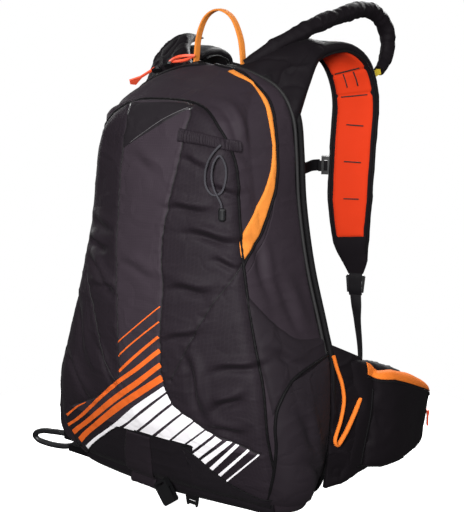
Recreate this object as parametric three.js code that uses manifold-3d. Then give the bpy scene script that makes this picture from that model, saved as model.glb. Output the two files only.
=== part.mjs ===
// Ski touring backpack of about 20 litres, in millimetres.
// +Z is up, +Y points to the wearer, -Y to the front of the bag and +X to the right of the
// bag as seen from its front. The origin is the centre of the pad that rests on the wearer's back.
import * as THREE from "three";
import { mergeVertices } from "three/addons/utils/BufferGeometryUtils.js";
import Module from "manifold-3d";

const wasm = await Module();
wasm.setup();

// ---------- driving dimensions ----------
const GAP = 0.3; // kept between pieces that touch
const WALL = 3; // bag wall with its lining
const SHELL_BACK = -14; // y of the bag's back wall
const PANEL_FACE = -8; // y of the foam back panel's outer face
const FOLD_Z = 15; // height of the fold that the front lid turns on
// The main zip, seen from the side: over the top, then down to the fold.
const ZIP_EDGE = [
  [-26, 252],
  [-34, 236],
  [-44, 215],
  [-50, 190],
  [-54, 150],
  [-59, 115],
  [-72, 78],
  [-94, 46],
  [-122, FOLD_Z],
];
const ZIP_TOP = new THREE.Vector3(0, -26, 252);
const ZIP_DOWN = new THREE.Vector3(0, -10, -20).normalize(); // down the zip at the top
const ZIP_ARC = 166; // radius of the zip's arch over the top
const POCKET_DEPTH = 8; // front pocket, packed flat

// Horizontal sections of the bag, from the top down: height, half width at the back wall,
// half width and depth of the front corner, depth at the middle of the front.
const SECTIONS = [
  [251, 22, 18, -24, -26],
  [247, 46, 40, -31, -34],
  [240, 71, 61, -44, -48],
  [231, 92, 77, -63, -69],
  [219, 106, 87, -86, -93],
  [205, 115, 95, -104, -111],
  [188, 121, 102, -115, -124],
  [150, 125, 109, -118, -134],
  [93, 129, 117, -118, -142],
  [17, 142, 131, -121, -151],
  [-60, 163, 155, -122, -156],
  [-103, 174, 167, -121, -156],
  [-160, 176, 178, -117, -147],
  [-215, 172, 186, -109, -129],
  [-252, 163, 184, -102, -116],
  [-274, 152, 171, -92, -105],
  [-283, 136, 150, -78, -90],
];

// ---------- colours ----------
const cloth = (color, roughness = 0.85) =>
  new THREE.MeshStandardMaterial({ color, roughness, metalness: 0 });
const BLACK_CLOTH = cloth(0x221f24);
const POCKET_CLOTH = cloth(0x2b272c);
const BASE_CLOTH = cloth(0x151417);
const WEBBING = cloth(0x121214, 0.7);
const FOAM = cloth(0x1b1b1e, 0.95);
const LINER = cloth(0xe04a20, 0.9);
const ORANGE = cloth(0xf79a2b, 0.75);
const RED_PULL = cloth(0xf2603a, 0.6);
const YELLOW = cloth(0xf0cc36, 0.5);
const PLASTIC = cloth(0x151618, 0.4);
const GREY_CORD = cloth(0x77747a, 0.6);
const RUBBER = cloth(0x1a1a1b, 0.6);
const LINING = cloth(0x4b4c50, 0.9);

// ---------- geometry helpers ----------
const vec = (p) => (p.isVector3 ? p.clone() : new THREE.Vector3(...p));

function solid(geometry) {
  const bare = geometry.clone();
  for (const name of Object.keys(bare.attributes)) if (name !== "position") bare.deleteAttribute(name);
  const merged = mergeVertices(bare, 1e-3);
  const triVerts = new Uint32Array(merged.index.array);
  return new wasm.Manifold(
    new wasm.Mesh({ numProp: 3, vertProperties: merged.attributes.position.array, triVerts }),
  );
}

function geometryOf(manifold) {
  const mesh = manifold.getMesh();
  const geometry = new THREE.BufferGeometry();
  geometry.setAttribute("position", new THREE.BufferAttribute(mesh.vertProperties, 3));
  geometry.setIndex(new THREE.BufferAttribute(mesh.triVerts, 1));
  return geometry;
}

function signedVolume(points, faces) {
  const v = new THREE.Vector3();
  let sum = 0;
  for (const [a, b, c] of faces) sum += points[a].dot(v.crossVectors(points[b], points[c]));
  return sum / 6;
}

// A closed skin over rings of equal length, with a fan over the first and last.
function loft(rings) {
  const count = rings[0].length;
  const points = rings.flat();
  const faces = [];
  for (let i = 0; i + 1 < rings.length; i++) {
    for (let j = 0; j < count; j++) {
      const a = i * count + j;
      const b = i * count + ((j + 1) % count);
      faces.push([a, b, b + count], [a, b + count, a + count]);
    }
  }
  for (const [ring, flip] of [[0, true], [rings.length - 1, false]]) {
    const middle = points.length;
    const centre = new THREE.Vector3();
    for (const p of rings[ring]) centre.addScaledVector(p, 1 / count);
    points.push(centre);
    for (let j = 0; j < count; j++) {
      const a = ring * count + j;
      const b = ring * count + ((j + 1) % count);
      faces.push(flip ? [b, a, middle] : [a, b, middle]);
    }
  }
  if (signedVolume(points, faces) < 0) for (const f of faces) f.reverse();
  const geometry = new THREE.BufferGeometry().setFromPoints(points);
  geometry.setIndex(faces.flat());
  return geometry;
}

// An outline pushed straight along one axis: (y, z) along x, (x, z) along y, (x, y) along z.
function prism(axis, outline, low, high) {
  const X = new THREE.Vector3(1, 0, 0);
  const Y = new THREE.Vector3(0, 1, 0);
  const Z = new THREE.Vector3(0, 0, 1);
  const shape = new THREE.Shape(outline.map(([a, b]) => new THREE.Vector2(a, b)));
  const geometry = new THREE.ExtrudeGeometry(shape, { depth: high - low, bevelEnabled: false });
  const basis = { x: [Y, Z, X], y: [X, Z, Y.clone().negate()], z: [X, Y, Z] }[axis];
  const start = { x: [low, 0, 0], y: [0, high, 0], z: [0, 0, low] }[axis];
  return geometry.applyMatrix4(new THREE.Matrix4().makeBasis(...basis)).translate(...start);
}

const box = (low, high) =>
  new THREE.BoxGeometry(...high.map((h, i) => h - low[i])).translate(
    ...high.map((h, i) => (h + low[i]) / 2),
  );

// A section with rounded corners for sweeps: width along u, thickness along v.
function softSection(width, thick, corner = 0.45, steps = 3) {
  const r = Math.min(width, thick) * corner;
  const points = [];
  for (let k = 0; k < 4; k++) {
    const cu = (k === 0 || k === 3 ? 1 : -1) * (width / 2 - r);
    const cv = (k < 2 ? 1 : -1) * (thick / 2 - r);
    for (let i = 0; i < steps; i++) {
      const angle = ((k + i / (steps - 1)) * Math.PI) / 2;
      points.push([cu + r * Math.cos(angle), cv + r * Math.sin(angle)]);
    }
  }
  return points;
}

// A strap or pad that follows its stations, each { at, wide, width, thick }.
function strap(stations, steps = 24, corner = 0.45, corners = 3) {
  const curve = new THREE.CatmullRomCurve3(stations.map((s) => vec(s.at)), false, "centripetal");
  const last = stations.length - 1;
  const rings = [];
  for (let i = 0; i <= steps; i++) {
    const t = i / steps;
    const k = Math.min(Math.floor(t * last), last - 1);
    const f = t * last - k;
    const mix = (key) => THREE.MathUtils.lerp(stations[k][key], stations[k + 1][key], f);
    const along = curve.getTangent(t);
    const wide = vec(stations[k].wide).lerp(vec(stations[k + 1].wide), f);
    wide.addScaledVector(along, -wide.dot(along)).normalize();
    const out = new THREE.Vector3().crossVectors(along, wide);
    const middle = curve.getPoint(t);
    rings.push(
      softSection(mix("width"), mix("thick"), corner, corners).map(([u, v]) =>
        middle.clone().addScaledVector(wide, u).addScaledVector(out, v),
      ),
    );
  }
  return loft(rings);
}

const webbing = (points, wide, width, thick = 2, steps = 16) =>
  strap(points.map((at) => ({ at, wide, width, thick })), steps, 0.4, 2);

function cord(points, diameter, steps, sides = 8) {
  const angles = Array.from({ length: sides }, (_, i) => (i / sides) * 2 * Math.PI);
  const ring = angles.map((a) => new THREE.Vector2(Math.cos(a), Math.sin(a)));
  const section = new THREE.Shape(ring.map((p) => p.multiplyScalar(diameter / 2)));
  const extrudePath = new THREE.CatmullRomCurve3(points.map(vec), false, "centripetal");
  return new THREE.ExtrudeGeometry(section, { steps, extrudePath });
}

const mirrored = (p) => [-p[0], p[1], p[2]];
const mirrorStations = (list) =>
  list.map((s) => ({ ...s, at: mirrored(s.at), wide: mirrored(s.wide) }));

// ---------- the bag's body ----------
// Half of a section, from the middle of the back round to the middle of the front.
function halfSection(wb, wc, yc, yf) {
  const backRound = Math.min(12, wb * 0.3, (SHELL_BACK - yc) * 0.4);
  const frontRound = Math.min(30, wc * 0.4, (SHELL_BACK - yc) * 0.5);
  const path = new THREE.Path();
  path.moveTo(0, SHELL_BACK);
  path.lineTo(wb - backRound, SHELL_BACK);
  path.quadraticCurveTo(wb, SHELL_BACK, wb, SHELL_BACK - backRound);
  const middleY = (SHELL_BACK + yc) / 2;
  const bulge = Math.max(wb, wc) * 0.03;
  path.quadraticCurveTo((wb + wc) / 2 + bulge, middleY, wc, yc + frontRound);
  path.quadraticCurveTo(wc - 2, yc, wc - frontRound, yc + (yf - yc) * 0.3);
  path.quadraticCurveTo(wc * 0.4, yf, 0, yf);
  const steps = [2, 2, 3, 3, 4];
  const points = [];
  path.curves.forEach((curve, k) => {
    for (let i = 0; i < steps[k]; i++) points.push(curve.getPoint(i / steps[k]));
  });
  points.push(new THREE.Vector2(0, yf));
  return points;
}

// One ring of the body, grown outwards by `grow`.
function bodyRing([z, wb, wc, yc, yf], grow) {
  const half = halfSection(wb, wc, yc, yf);
  const other = half.slice(1, -1).reverse().map((p) => new THREE.Vector2(-p.x, p.y));
  const ring = [...half, ...other];
  const rise = THREE.MathUtils.clamp((z - 180) / 60, 0, 1);
  const drop = THREE.MathUtils.clamp((-235 - z) / 30, 0, 1);
  return ring.map((p, i) => {
    const before = ring[(i + ring.length - 1) % ring.length];
    const after = ring[(i + 1) % ring.length];
    const side = after.clone().sub(before).normalize();
    const x = p.x - side.y * grow;
    const y = p.y + side.x * grow;
    return new THREE.Vector3(x, y, z + grow * (rise - drop));
  });
}

const bodies = new Map();
function body(grow) {
  if (!bodies.has(grow)) bodies.set(grow, solid(loft(SECTIONS.map((s) => bodyRing(s, grow)))));
  return bodies.get(grow);
}

// The cloth between two depths over the body, inside a prism.
const layer = (from, to, mask) => body(to).subtract(body(from)).intersect(mask);

// Everything on the front side of a curved edge that is drawn in the y-z plane.
function frontOf(edge, shift = 0) {
  const curve = new THREE.SplineCurve(edge.map(([y, z]) => new THREE.Vector2(y - shift, z)));
  const points = curve.getPoints(16).map((p) => [p.x, p.y]);
  const [lastY, lastZ] = points.at(-1);
  const below = lastZ - 34;
  const outline = [[points[0][0] + 4, 400], ...points, [lastY - 20, below], [-500, below], [-500, 400]];
  return solid(prism("x", outline, -400, 400));
}

const above = (z) => solid(box([-500, -500, z], [500, 500, 900]));
const below = (z) => solid(box([-500, -500, -900], [500, 500, z]));
const rightOf = (x) => solid(box([x, -500, -900], [500, 500, 900]));
const leftOf = (x) => solid(box([-500, -500, -900], [x, 500, 900]));
const aheadOf = (y) => solid(box([-500, -500, -900], [500, y, 900]));

// ---------- assembly ----------
const backpack = new THREE.Group();

function piece(name, shape, material, at, turn) {
  const geometry = shape.isBufferGeometry ? shape : geometryOf(shape);
  const mesh = new THREE.Mesh(geometry, material);
  mesh.name = name;
  if (at) mesh.position.set(...at);
  if (turn) mesh.quaternion.setFromRotationMatrix(new THREE.Matrix4().makeBasis(...turn.map(vec)));
  backpack.add(mesh);
}

function pair(name, make, material) {
  for (const [side, sign] of [["right", 1], ["left", -1]]) piece(`${name}_${side}`, make(sign), material);
}

function addShellAndLid() {
  const walls = body(0).subtract(body(-WALL));
  const lidSpace = frontOf(ZIP_EDGE).intersect(above(FOLD_Z));
  const lid = walls.intersect(frontOf(ZIP_EDGE, 0.5)).intersect(above(FOLD_Z + 0.5));
  piece("main_shell", walls.subtract(lidSpace), BLACK_CLOTH);
  piece("front_lid", lid, BLACK_CLOTH);
}

// The front pocket covers the front between its corner seams, up to a low arch.
const POCKET_SEAM = [[164, -215], [152, -103], [141, -60], [122, FOLD_Z], [109, 93], [103, 150], [97, 184]];
const POCKET_ARCH = [[72, 198], [36, 206], [0, 208]];

function pocketMask(margin = 0) {
  const right = [...POCKET_SEAM, ...POCKET_ARCH].map(([x, z], i) => [
    x + (x > 0 ? margin : 0),
    z + (i >= POCKET_SEAM.length - 1 ? margin : 0),
  ]);
  const outline = [...right, ...right.slice(0, -1).reverse().map(([x, z]) => [-x, z])];
  return solid(prism("y", outline, -400, -58));
}

function addFrontPocket() {
  const cover = layer(GAP, POCKET_DEPTH, pocketMask());
  piece("front_pocket_upper", cover.intersect(above(FOLD_Z + 0.5)), POCKET_CLOTH);
  piece("front_pocket_lower", cover.intersect(below(FOLD_Z)), POCKET_CLOTH);
}

// The orange cover over the main zip runs in front of it and widens downwards.
const COVER_EDGE = [
  [-34, 258],
  [-44, 236],
  [-56, 215],
  [-64, 190],
  [-72, 150],
  [-82, 115],
  [-112, 78],
  [-150, 46],
  [-170, FOLD_Z],
];

function addMainZip() {
  const behind = frontOf(ZIP_EDGE, -9).subtract(frontOf(ZIP_EDGE, -0.5));
  const tape = layer(GAP, 2, behind).intersect(above(FOLD_Z + 4)).intersect(aheadOf(SHELL_BACK - 1));
  piece("main_zip_tape", tape.subtract(pocketMask(1)), WEBBING);
  const strip = frontOf(ZIP_EDGE, 1.5).subtract(frontOf(COVER_EDGE)).subtract(pocketMask(1));
  const cover = layer(GAP, 3, strip).intersect(above(FOLD_Z + 1));
  piece("zip_cover_right", cover.intersect(rightOf(14)), ORANGE);
  piece("zip_cover_left", cover.intersect(leftOf(-104)), ORANGE);
}

const BASE_TOP = -214.6;

function addSidePanels() {
  const wing = [[-124, 8], [-116, -138], [-16, -98], [-16, -72], [-70, -44]];
  const pocket = [[-112, -262], [-15, -262], [-15, -103], [-117, -143]];
  const low = solid(box([-152, -400, -400], [152, 0, BASE_TOP + 1]));
  const seam = pocketMask(1).add(low);
  const side = (sign, outline, thick) => {
    const [from, to] = sign > 0 ? [60, 400] : [-400, -60];
    return layer(GAP, thick, solid(prism("x", outline, from, to))).subtract(seam);
  };
  pair("side_wing", (sign) => side(sign, wing, 4), BLACK_CLOTH);
  pair("side_pocket", (sign) => side(sign, pocket, 7), POCKET_CLOTH);
}

function addBase() {
  const outline = [[-151, -280], [151, -280], [151, BASE_TOP - 1], [-151, BASE_TOP - 1]];
  piece("base_panel", layer(GAP, 6, solid(prism("y", outline, -400, -60))), BASE_CLOTH);
  const tongue = [[-58, -200], [8, -198], [-2, -272], [-36, -272]];
  const over = layer(POCKET_DEPTH + GAP, 11, solid(prism("y", tongue, -400, -60)));
  piece("base_tongue", over, WEBBING);
}

function addBack() {
  const edge = SECTIONS.map(([z, wb]) => [wb - 1, z]);
  const outline = [...edge, ...edge.map(([x, z]) => [-x, z]).reverse()];
  piece("back_panel", prism("y", outline, SHELL_BACK + GAP, PANEL_FACE - GAP), FOAM);
  const inside = SHELL_BACK - WALL - GAP;
  piece("frame_sheet", prism("y", padOutline(88, -225, 205, 20), inside - 2, inside), LINING);
}

function padOutline(halfWidth, low, high, corner) {
  const shape = [];
  const centres = [
    [halfWidth - corner, high - corner, 0],
    [-halfWidth + corner, high - corner, 1],
    [-halfWidth + corner, low + corner, 2],
    [halfWidth - corner, low + corner, 3],
  ];
  for (const [cx, cz, quarter] of centres)
    for (let i = 0; i <= 3; i++) {
      const angle = ((quarter + i / 3) * Math.PI) / 2;
      shape.push([cx + corner * Math.cos(angle), cz + corner * Math.sin(angle)]);
    }
  return shape;
}

function addPads() {
  piece("back_pad", prism("y", padOutline(58, -110, 110, 22), PANEL_FACE, 0), FOAM);
  piece("lumbar_pad", prism("y", padOutline(96, -226, -128, 26), PANEL_FACE, 6), FOAM);
  piece("shoulder_yoke", prism("y", padOutline(98, 128, 202, 18), PANEL_FACE, -3), FOAM);
}

// Inside: a flat sleeve for shovel shaft and probe.
function addInside() {
  const face = SHELL_BACK - WALL - GAP - 2 - GAP;
  const sleeve = [[-70, -200], [70, -200], [70, 60], [-70, 60]];
  piece("tool_sleeve", prism("y", sleeve, face - 3, face), LINING);
}

// ---------- carrying system ----------
const STRAP_TOP = [86, 3, 228]; // the shoulder strap's stitching, where it bends
const STRAP = [
  { at: STRAP_TOP, wide: [1, 0, 0], width: 52, thick: 9 },
  { at: [87, 18, 251], wide: [1, 0, 0], width: 53, thick: 11 },
  { at: [91, 48, 268], wide: [1, 0.02, 0], width: 54, thick: 12 },
  { at: [98, 88, 271], wide: [1, 0.12, 0], width: 54, thick: 13 },
  { at: [105, 122, 250], wide: [1, 0.3, 0], width: 54, thick: 13 },
  { at: [110, 138, 208], wide: [1, 0.45, 0], width: 54, thick: 13 },
  { at: [109, 137, 138], wide: [1, 0.53, 0], width: 54, thick: 12 },
  { at: [108, 135, 70], wide: [1, 0.5, 0], width: 53, thick: 12 },
  { at: [109, 139, 15], wide: [1, 0.4, 0], width: 44, thick: 11 },
  { at: [112, 145, -14], wide: [1, 0.35, 0], width: 30, thick: 8 },
  { at: [112.5, 147, -31.5], wide: [1, 0.35, 0], width: 18, thick: 3 },
];
const LADDER_PIN = [112.5, 147, -33]; // the ladder lock turns here
const LOWER_ROUTE = [
  [113, 147, -60],
  [119, 143, -92],
  [134, 128, -142],
  [149, 90, -196],
  [152, 34, -232],
  [150, 0, -244],
];

// One side of the carrying system is drawn for the right and mirrored for the left.
function bothSides(build) {
  build("right", (p) => [...p], (list) => list, 1);
  build("left", mirrored, mirrorStations, -1);
}

function addShoulderStraps() {
  bothSides((side, flip, flipAll, sign) => {
    const slope = [1, 0.35 * sign, 0];
    piece(`shoulder_strap_${side}`, strap(flipAll(STRAP), 22, 0.45, 2), LINER);
    piece(`lower_webbing_${side}`, webbing(LOWER_ROUTE.map(flip), [1, 0.4 * sign, 0], 15), WEBBING);
    const turn = [slope, [-0.35 * sign, 1, 0], [0, 0, 1]].map((v) => vec(v).normalize());
    const [x, y, z] = flip(LADDER_PIN);
    piece(`ladder_lock_${side}`, ladderLock(26, 24, 3.4), PLASTIC, [x, y, z - 12.2], turn);
  });
}

// A plate with two slots, its outline in its own x-z plane.
function ladderLock(width, height, thick = 4) {
  const w = width / 2;
  const h = height / 2;
  const outline = [[-w, h - 2], [-w + 2, h], [w - 2, h], [w, h - 2], [w - 2, -h], [-w + 2, -h]];
  const slot = (low, high) => solid(box([-w + 4, -thick, low], [w - 4, thick, high]));
  const plate = solid(prism("y", outline, -thick / 2, thick / 2));
  return plate.subtract(slot(-1, 4)).subtract(slot(-8, -4.5));
}

// Each half of the chest strap: a slider on the strap's inner edge, its webbing and half a buckle.
const STERNUM_Z = 116;
const STERNUM_EDGE = [84.5, 124.5, STERNUM_Z];

function addSternumStrap() {
  bothSides((side, flip, flipAll, sign) => {
    const [ex, ey] = STERNUM_EDGE;
    const turn = [[0.894, 0.447 * sign, 0], [-0.447 * sign, 0.894, 0], [0, 0, 1]];
    const clip = flip([ex - 6.5, ey - 3.2, STERNUM_Z]);
    piece(`sternum_slider_${side}`, slider(11, 9, 24), PLASTIC, clip, turn.map(vec));
    const route = [[71, 117, 0], [66, 108, 0], [66, 96, -1], [66, 84, -2]];
    const run = route.map(([x, y, z]) => flip([x, y, STERNUM_Z + z]));
    piece(`sternum_webbing_${side}`, webbing(run, [0, 0, 1], 15, 2, 8), WEBBING);
    const half = side === "right" ? buckleMale(20, 30) : buckleFemale(22, 32);
    const facing = [[0, 0, 1], [-1, 0, 0], [0, -1, 0]];
    piece(`sternum_buckle_${side}`, half, PLASTIC, flip([66, 83.6, STERNUM_Z - 2]), facing.map(vec));
  });
}

function slider(width, depth, height) {
  const plate = solid(box([-width / 2, -depth / 2, -height / 2], [width / 2, depth / 2, height / 2]));
  const window = solid(box([-width / 2 + 3, -depth, -7], [width / 2 - 3, depth, 7]));
  return plate.subtract(window);
}

// Side-release buckle halves lie along their own +z from the webbing bar, width along x.
function buckleMale(width, length, thick = 5) {
  const w = width / 2;
  const body = solid(box([-w, -thick / 2, 0.3], [w, thick / 2, 10]));
  const slot = solid(box([-w + 3, -thick, 3], [w - 3, thick, 6]));
  const arm = (sign) => {
    const outer = [[3, 9], [w * 0.85, 9], [w * 0.95, length - 7], [w, length - 5]];
    const inner = [[w * 0.6, length], [w * 0.55, length - 7], [w * 0.5, 14], [3, 12]];
    const outline = [...outer, ...inner];
    return solid(prism("y", outline.map(([x, z]) => [sign * x, z]), -thick / 2 + 0.7, thick / 2 - 0.7));
  };
  const tongue = solid(box([-1.6, -thick / 2 + 1, 9], [1.6, thick / 2 - 1, length - 5]));
  return body.subtract(slot).add(arm(1)).add(arm(-1)).add(tongue);
}

function buckleFemale(width, length, thick = 8) {
  const w = width / 2;
  const half = [[w - 2, 0.3], [w, 3], [w, length - 3], [w - 2, length]];
  const outline = [...half, ...half.map(([x, y]) => [-x, y]).reverse()];
  const housing = solid(prism("y", outline, -thick / 2, thick / 2));
  const mouth = solid(box([-w + 2, -thick / 2 + 1.5, 11], [w - 2, thick / 2 - 1.5, length + 1]));
  const windows = solid(box([-w - 1, -thick / 2 + 1.5, 12], [w + 1, thick / 2 - 1.5, length - 8]));
  const slot = solid(box([-w + 3, -thick, 3], [w - 3, thick, 6.5]));
  return housing.subtract(mouth).subtract(windows).subtract(slot);
}

function addHaulLoop() {
  const right = [[37, -6, 251.5], [32, -6, 285], [19, -6, 309]];
  const points = [...right.map(mirrored), [0, -6, 317], ...right.reverse()];
  piece("haul_loop", webbing(points, [0, 1, 0], 3, 11, 18), ORANGE);
}

// The ski carrying loop: a gathered sleeve over elastic, with a hook at its end.
const SLEEVE_ROUTE = [
  [52, 2, 258, 17],
  [69, 18, 275, 19],
  [90, 50, 293, 20],
  [98, 112, 308, 21],
  [100, 170, 315, 21],
  [102, 206, 306, 22],
  [106, 224, 280, 22],
  [109, 218, 252, 19],
  [112, 196, 237, 15],
];

function addSkiSleeve() {
  const station = ([x, y, z, d]) => ({ at: [x, y, z], wide: [1, 0, 0], width: d, thick: d });
  const stations = SLEEVE_ROUTE.map(station);
  piece("ski_sleeve", strap(stations, 18, 0.499, 3), BLACK_CLOTH);
  const hook = [[-4, 0], [-4, -20], [-1, -26], [4, -26], [6, -20], [3, -21], [1, -20], [2, -4], [4, 0]];
  const turn = [[1, 0, 0], [0, 0.34, -0.94], [0, 0.94, 0.34]].map((v) => vec(v).normalize());
  piece("ski_hook", prism("x", hook, -3, 3), YELLOW, [112.4, 193, 234.6], turn);
  const loop = [[-8, 0], [-6, 8], [6, 8], [8, 0], [5, 0], [4, 5], [-4, 5], [-5, 0]];
  const seat = [[0.91, 0.41, 0], [0, 0, 1], [0.41, -0.91, 0]].map((v) => vec(v).normalize());
  piece("strap_hook_loop", prism("y", loop, -4, 4), WEBBING, [111, 153.5, 226], seat);
}

const WING = [
  { at: [178.5, 8, -184], wide: [0, 0, 1], width: 170, thick: 9 },
  { at: [182, 38, -186], wide: [0, 0.03, 1], width: 160, thick: 12 },
  { at: [184, 92, -196], wide: [0, 0.15, 1], width: 138, thick: 12 },
  { at: [179, 146, -212], wide: [0, 0.25, 1], width: 116, thick: 12 },
  { at: [168, 197, -228], wide: [0, 0.3, 1], width: 90, thick: 12 },
  { at: [150, 236, -244], wide: [0.1, 0.3, 1], width: 60, thick: 10 },
  { at: [129, 256, -254], wide: [0.2, 0.25, 1], width: 36, thick: 8 },
];

function grown(stations, margin) {
  return stations.map((s) => ({ ...s, width: s.width + 2 * margin, thick: s.thick + 2 * margin }));
}

// The zipped pocket lies on the outside of the wing.
const HIP_POCKET = [
  { at: [192, 45, -190], wide: [0, 0.06, 1], width: 128, thick: 7 },
  { at: [200, 74, -194], wide: [0, 0.12, 1], width: 132, thick: 18 },
  { at: [200, 132, -208], wide: [0, 0.22, 1], width: 114, thick: 24 },
  { at: [188, 190, -225], wide: [0, 0.28, 1], width: 86, thick: 22 },
  { at: [165, 236, -242], wide: [0.1, 0.3, 1], width: 54, thick: 9 },
];
const HIP_TAIL = [[121, 259, -257], [104, 266, -260], [84, 271, -262], [70, 272, -262]];

function addHipBelt() {
  bothSides((side, flip, flipAll, sign) => {
    piece(`hip_wing_${side}`, strap(flipAll(WING), 14), FOAM);
    const room = solid(strap(flipAll(grown(WING, 0.5)), 14));
    piece(`hip_pocket_${side}`, solid(strap(flipAll(HIP_POCKET), 10)).subtract(room), BLACK_CLOTH);
    piece(`hip_webbing_${side}`, webbing(HIP_TAIL.map(flip), [0.1 * sign, 0.2, 1], 25, 2, 8), WEBBING);
    const half = side === "right" ? buckleFemale(38, 48, 10) : buckleMale(34, 46, 7);
    const facing = [[0, 0, 1], [0, sign, 0], [-sign, 0, 0]];
    piece(`hip_buckle_${side}`, half, PLASTIC, flip([69.6, 272, -262]), facing.map(vec));
    const corners = [[124, -248], [176, -268], [176, -100], [160, -96], [124, -124]];
    const root = corners.map(([x, z]) => [sign * x, z]);
    piece(`hip_root_${side}`, prism("y", root, PANEL_FACE, -1.5), FOAM);
  });
}

// ---------- zips, cords and trim ----------
// A point on the main zip's arch, `lift` above the cloth, at an angle from its top.
function onArch(angle, lift) {
  const radius = ZIP_ARC + lift;
  return new THREE.Vector3(Math.sin(angle) * radius, 0, 0)
    .addScaledVector(ZIP_TOP, 1)
    .addScaledVector(ZIP_DOWN, ZIP_ARC - Math.cos(angle) * radius);
}

// Axes of a piece on the arch: along the zip, across it, and out of the cloth.
function archTurn(angle) {
  const along = new THREE.Vector3(Math.cos(angle), 0, 0).addScaledVector(ZIP_DOWN, Math.sin(angle));
  const up = new THREE.Vector3(Math.sin(angle), 0, 0).addScaledVector(ZIP_DOWN, -Math.cos(angle));
  return [along, new THREE.Vector3().crossVectors(up, along), up];
}

const SLIDER_LIFT = 7;
const SLIDER_ANGLES = { left: -0.485, right: -0.38 };

function zipSlider(length, width, height) {
  const w = width / 2;
  const half = [[-length / 2, w * 0.7], [length * 0.2, w], [length / 2, w * 0.6]];
  const outline = [...half.map(([x, y]) => [x, -y]), ...half.reverse()];
  return prism("z", outline, 0, height);
}

// A pull tape that ends in a broad grip, drawn along -x from the slider.
function flaredPull(length, grip) {
  const half = [[-1, 1.6], [-length + 14, 1.6], [-length, grip / 2]];
  const outline = [...half.map(([x, y]) => [x, -y]), [-length - 4, 0], ...half.reverse()];
  return prism("z", outline, 0, 2);
}

// A leaf-shaped loop, drawn along +x from the slider.
function leafPull(length, width) {
  const leaf = (inset) => {
    const shape = [];
    for (let i = 0; i <= 8; i++) {
      const along = inset + ((length - 2 * inset) * i) / 8;
      shape.push([along, Math.sin((i / 8) * Math.PI) * (width / 2 - inset)]);
    }
    for (let i = 7; i > 0; i--) shape.push([shape[i][0], -shape[i][1]]);
    return shape;
  };
  return solid(prism("z", leaf(0), 0, 3)).subtract(solid(prism("z", leaf(3), -1, 4)));
}

function addZipPulls() {
  for (const side of ["left", "right"]) {
    const angle = SLIDER_ANGLES[side];
    const turn = archTurn(angle);
    const place = onArch(angle, SLIDER_LIFT).toArray();
    piece(`main_slider_${side}`, zipSlider(11, 9, 3.5), PLASTIC, place, turn);
    const pull = side === "left" ? flaredPull(38, 14) : leafPull(40, 14);
    const step = side === "left" ? -0.5 : 0.5;
    const at = onArch(angle, SLIDER_LIFT + 4.2).addScaledVector(turn[0], step);
    piece(`main_pull_${side}`, pull, RED_PULL, at.toArray(), archTurn(angle + step * 0.24));
  }
}

// The depth of the front pocket's outer face at a place on the front.
function pocketFace(x, z) {
  const k = SECTIONS.findIndex((s, i) => z <= s[0] && z >= SECTIONS[i + 1][0]);
  const f = (SECTIONS[k][0] - z) / (SECTIONS[k][0] - SECTIONS[k + 1][0]);
  const section = SECTIONS[k].map((v, i) => THREE.MathUtils.lerp(v, SECTIONS[k + 1][i], f));
  const half = halfSection(...section.slice(1)).slice(-8);
  const far = Math.abs(x);
  const i = half.findIndex((p, n) => n + 1 < half.length && far <= p.x && far >= half[n + 1].x);
  const g = (half[i].x - far) / (half[i].x - half[i + 1].x);
  return THREE.MathUtils.lerp(half[i].y, half[i + 1].y, g) - POCKET_DEPTH;
}

const onPocket = (x, z, lift) => [x, pocketFace(x, z) - lift, z];

const BUNGEE = 2.6; // elastic cord for an ice axe
const BUNGEE_ROUTE = [
  [97, 172, 11],
  [93, 167, 10],
  [86, 156, 8.5],
  [81, 139, 7],
  [83, 123, 6.5],
  [91, 115, 6.5],
  [99, 118, 7],
  [103, 133, 9],
  [102, 150, 11],
  [98, 160, 13.5],
  [93, 153, 12],
  [91, 137, 11],
  [94, 123, 11],
  [98, 114, 11],
  [101, 107, 10.5],
  [102, 101, 9.5],
];

function addAxeHolder() {
  const strip = [[38, 171], [103, 161], [101, 174], [39, 183]];
  const bar = layer(POCKET_DEPTH + GAP, 11, solid(prism("y", strip, -400, -60)));
  piece("axe_strip", bar, WEBBING);
  const route = BUNGEE_ROUTE.map(([x, z, lift]) => onPocket(x, z, lift));
  piece("axe_bungee", cord(route, BUNGEE, 44, 6), GREY_CORD);
  const [x, y, z] = route.at(-1);
  const barrel = [[0, 0], [3.4, 0], [4.2, 2], [4.2, 12], [3.2, 14], [0, 14]];
  const lathe = new THREE.LatheGeometry(barrel.map((p) => new THREE.Vector2(...p)), 12);
  piece("cord_end", lathe.rotateX(Math.PI / 2), PLASTIC, [x, y, z - 14.6]);
}

const SKI_LOOP = 8; // rubber-covered cord that carries a ski's tail
const SKI_LOOP_ROUTE = [
  [-197, -99, -257],
  [-206, -101, -257],
  [-219, -103, -258],
  [-235, -105, -260],
  [-246, -107, -264],
  [-251, -107, -270],
  [-247, -105, -276],
  [-234, -102, -279],
  [-218, -98, -280],
  [-205, -95, -279],
  [-196, -92, -277],
];

function addSkiLoop() {
  const clear = body(7.5);
  const ends = { upper: SKI_LOOP_ROUTE[0], lower: SKI_LOOP_ROUTE.at(-1) };
  for (const [name, [x, y, z]] of Object.entries(ends)) {
    const tab = solid(box([x + 1.4, y - 6, z - 5], [x + 40, y + 6, z + 5])).subtract(clear);
    piece(`ski_loop_anchor_${name}`, tab, WEBBING);
  }
  piece("ski_loop", cord(SKI_LOOP_ROUTE, SKI_LOOP, 24, 8), RUBBER);
}

// A flat pull cord hangs in a loop from the side pocket's zip to the hip pocket.
const PULL_ROUTE = [
  [180, -12, -92],
  [182, -11, -108],
  [187, -10, -134],
  [189, -10, -160],
  [188, -15, -184],
  [187, -20, -198],
  [189, -13, -201],
  [192, 1, -194],
  [194, 14, -185],
  [195, 25, -176],
  [194, 32, -171],
];

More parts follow.
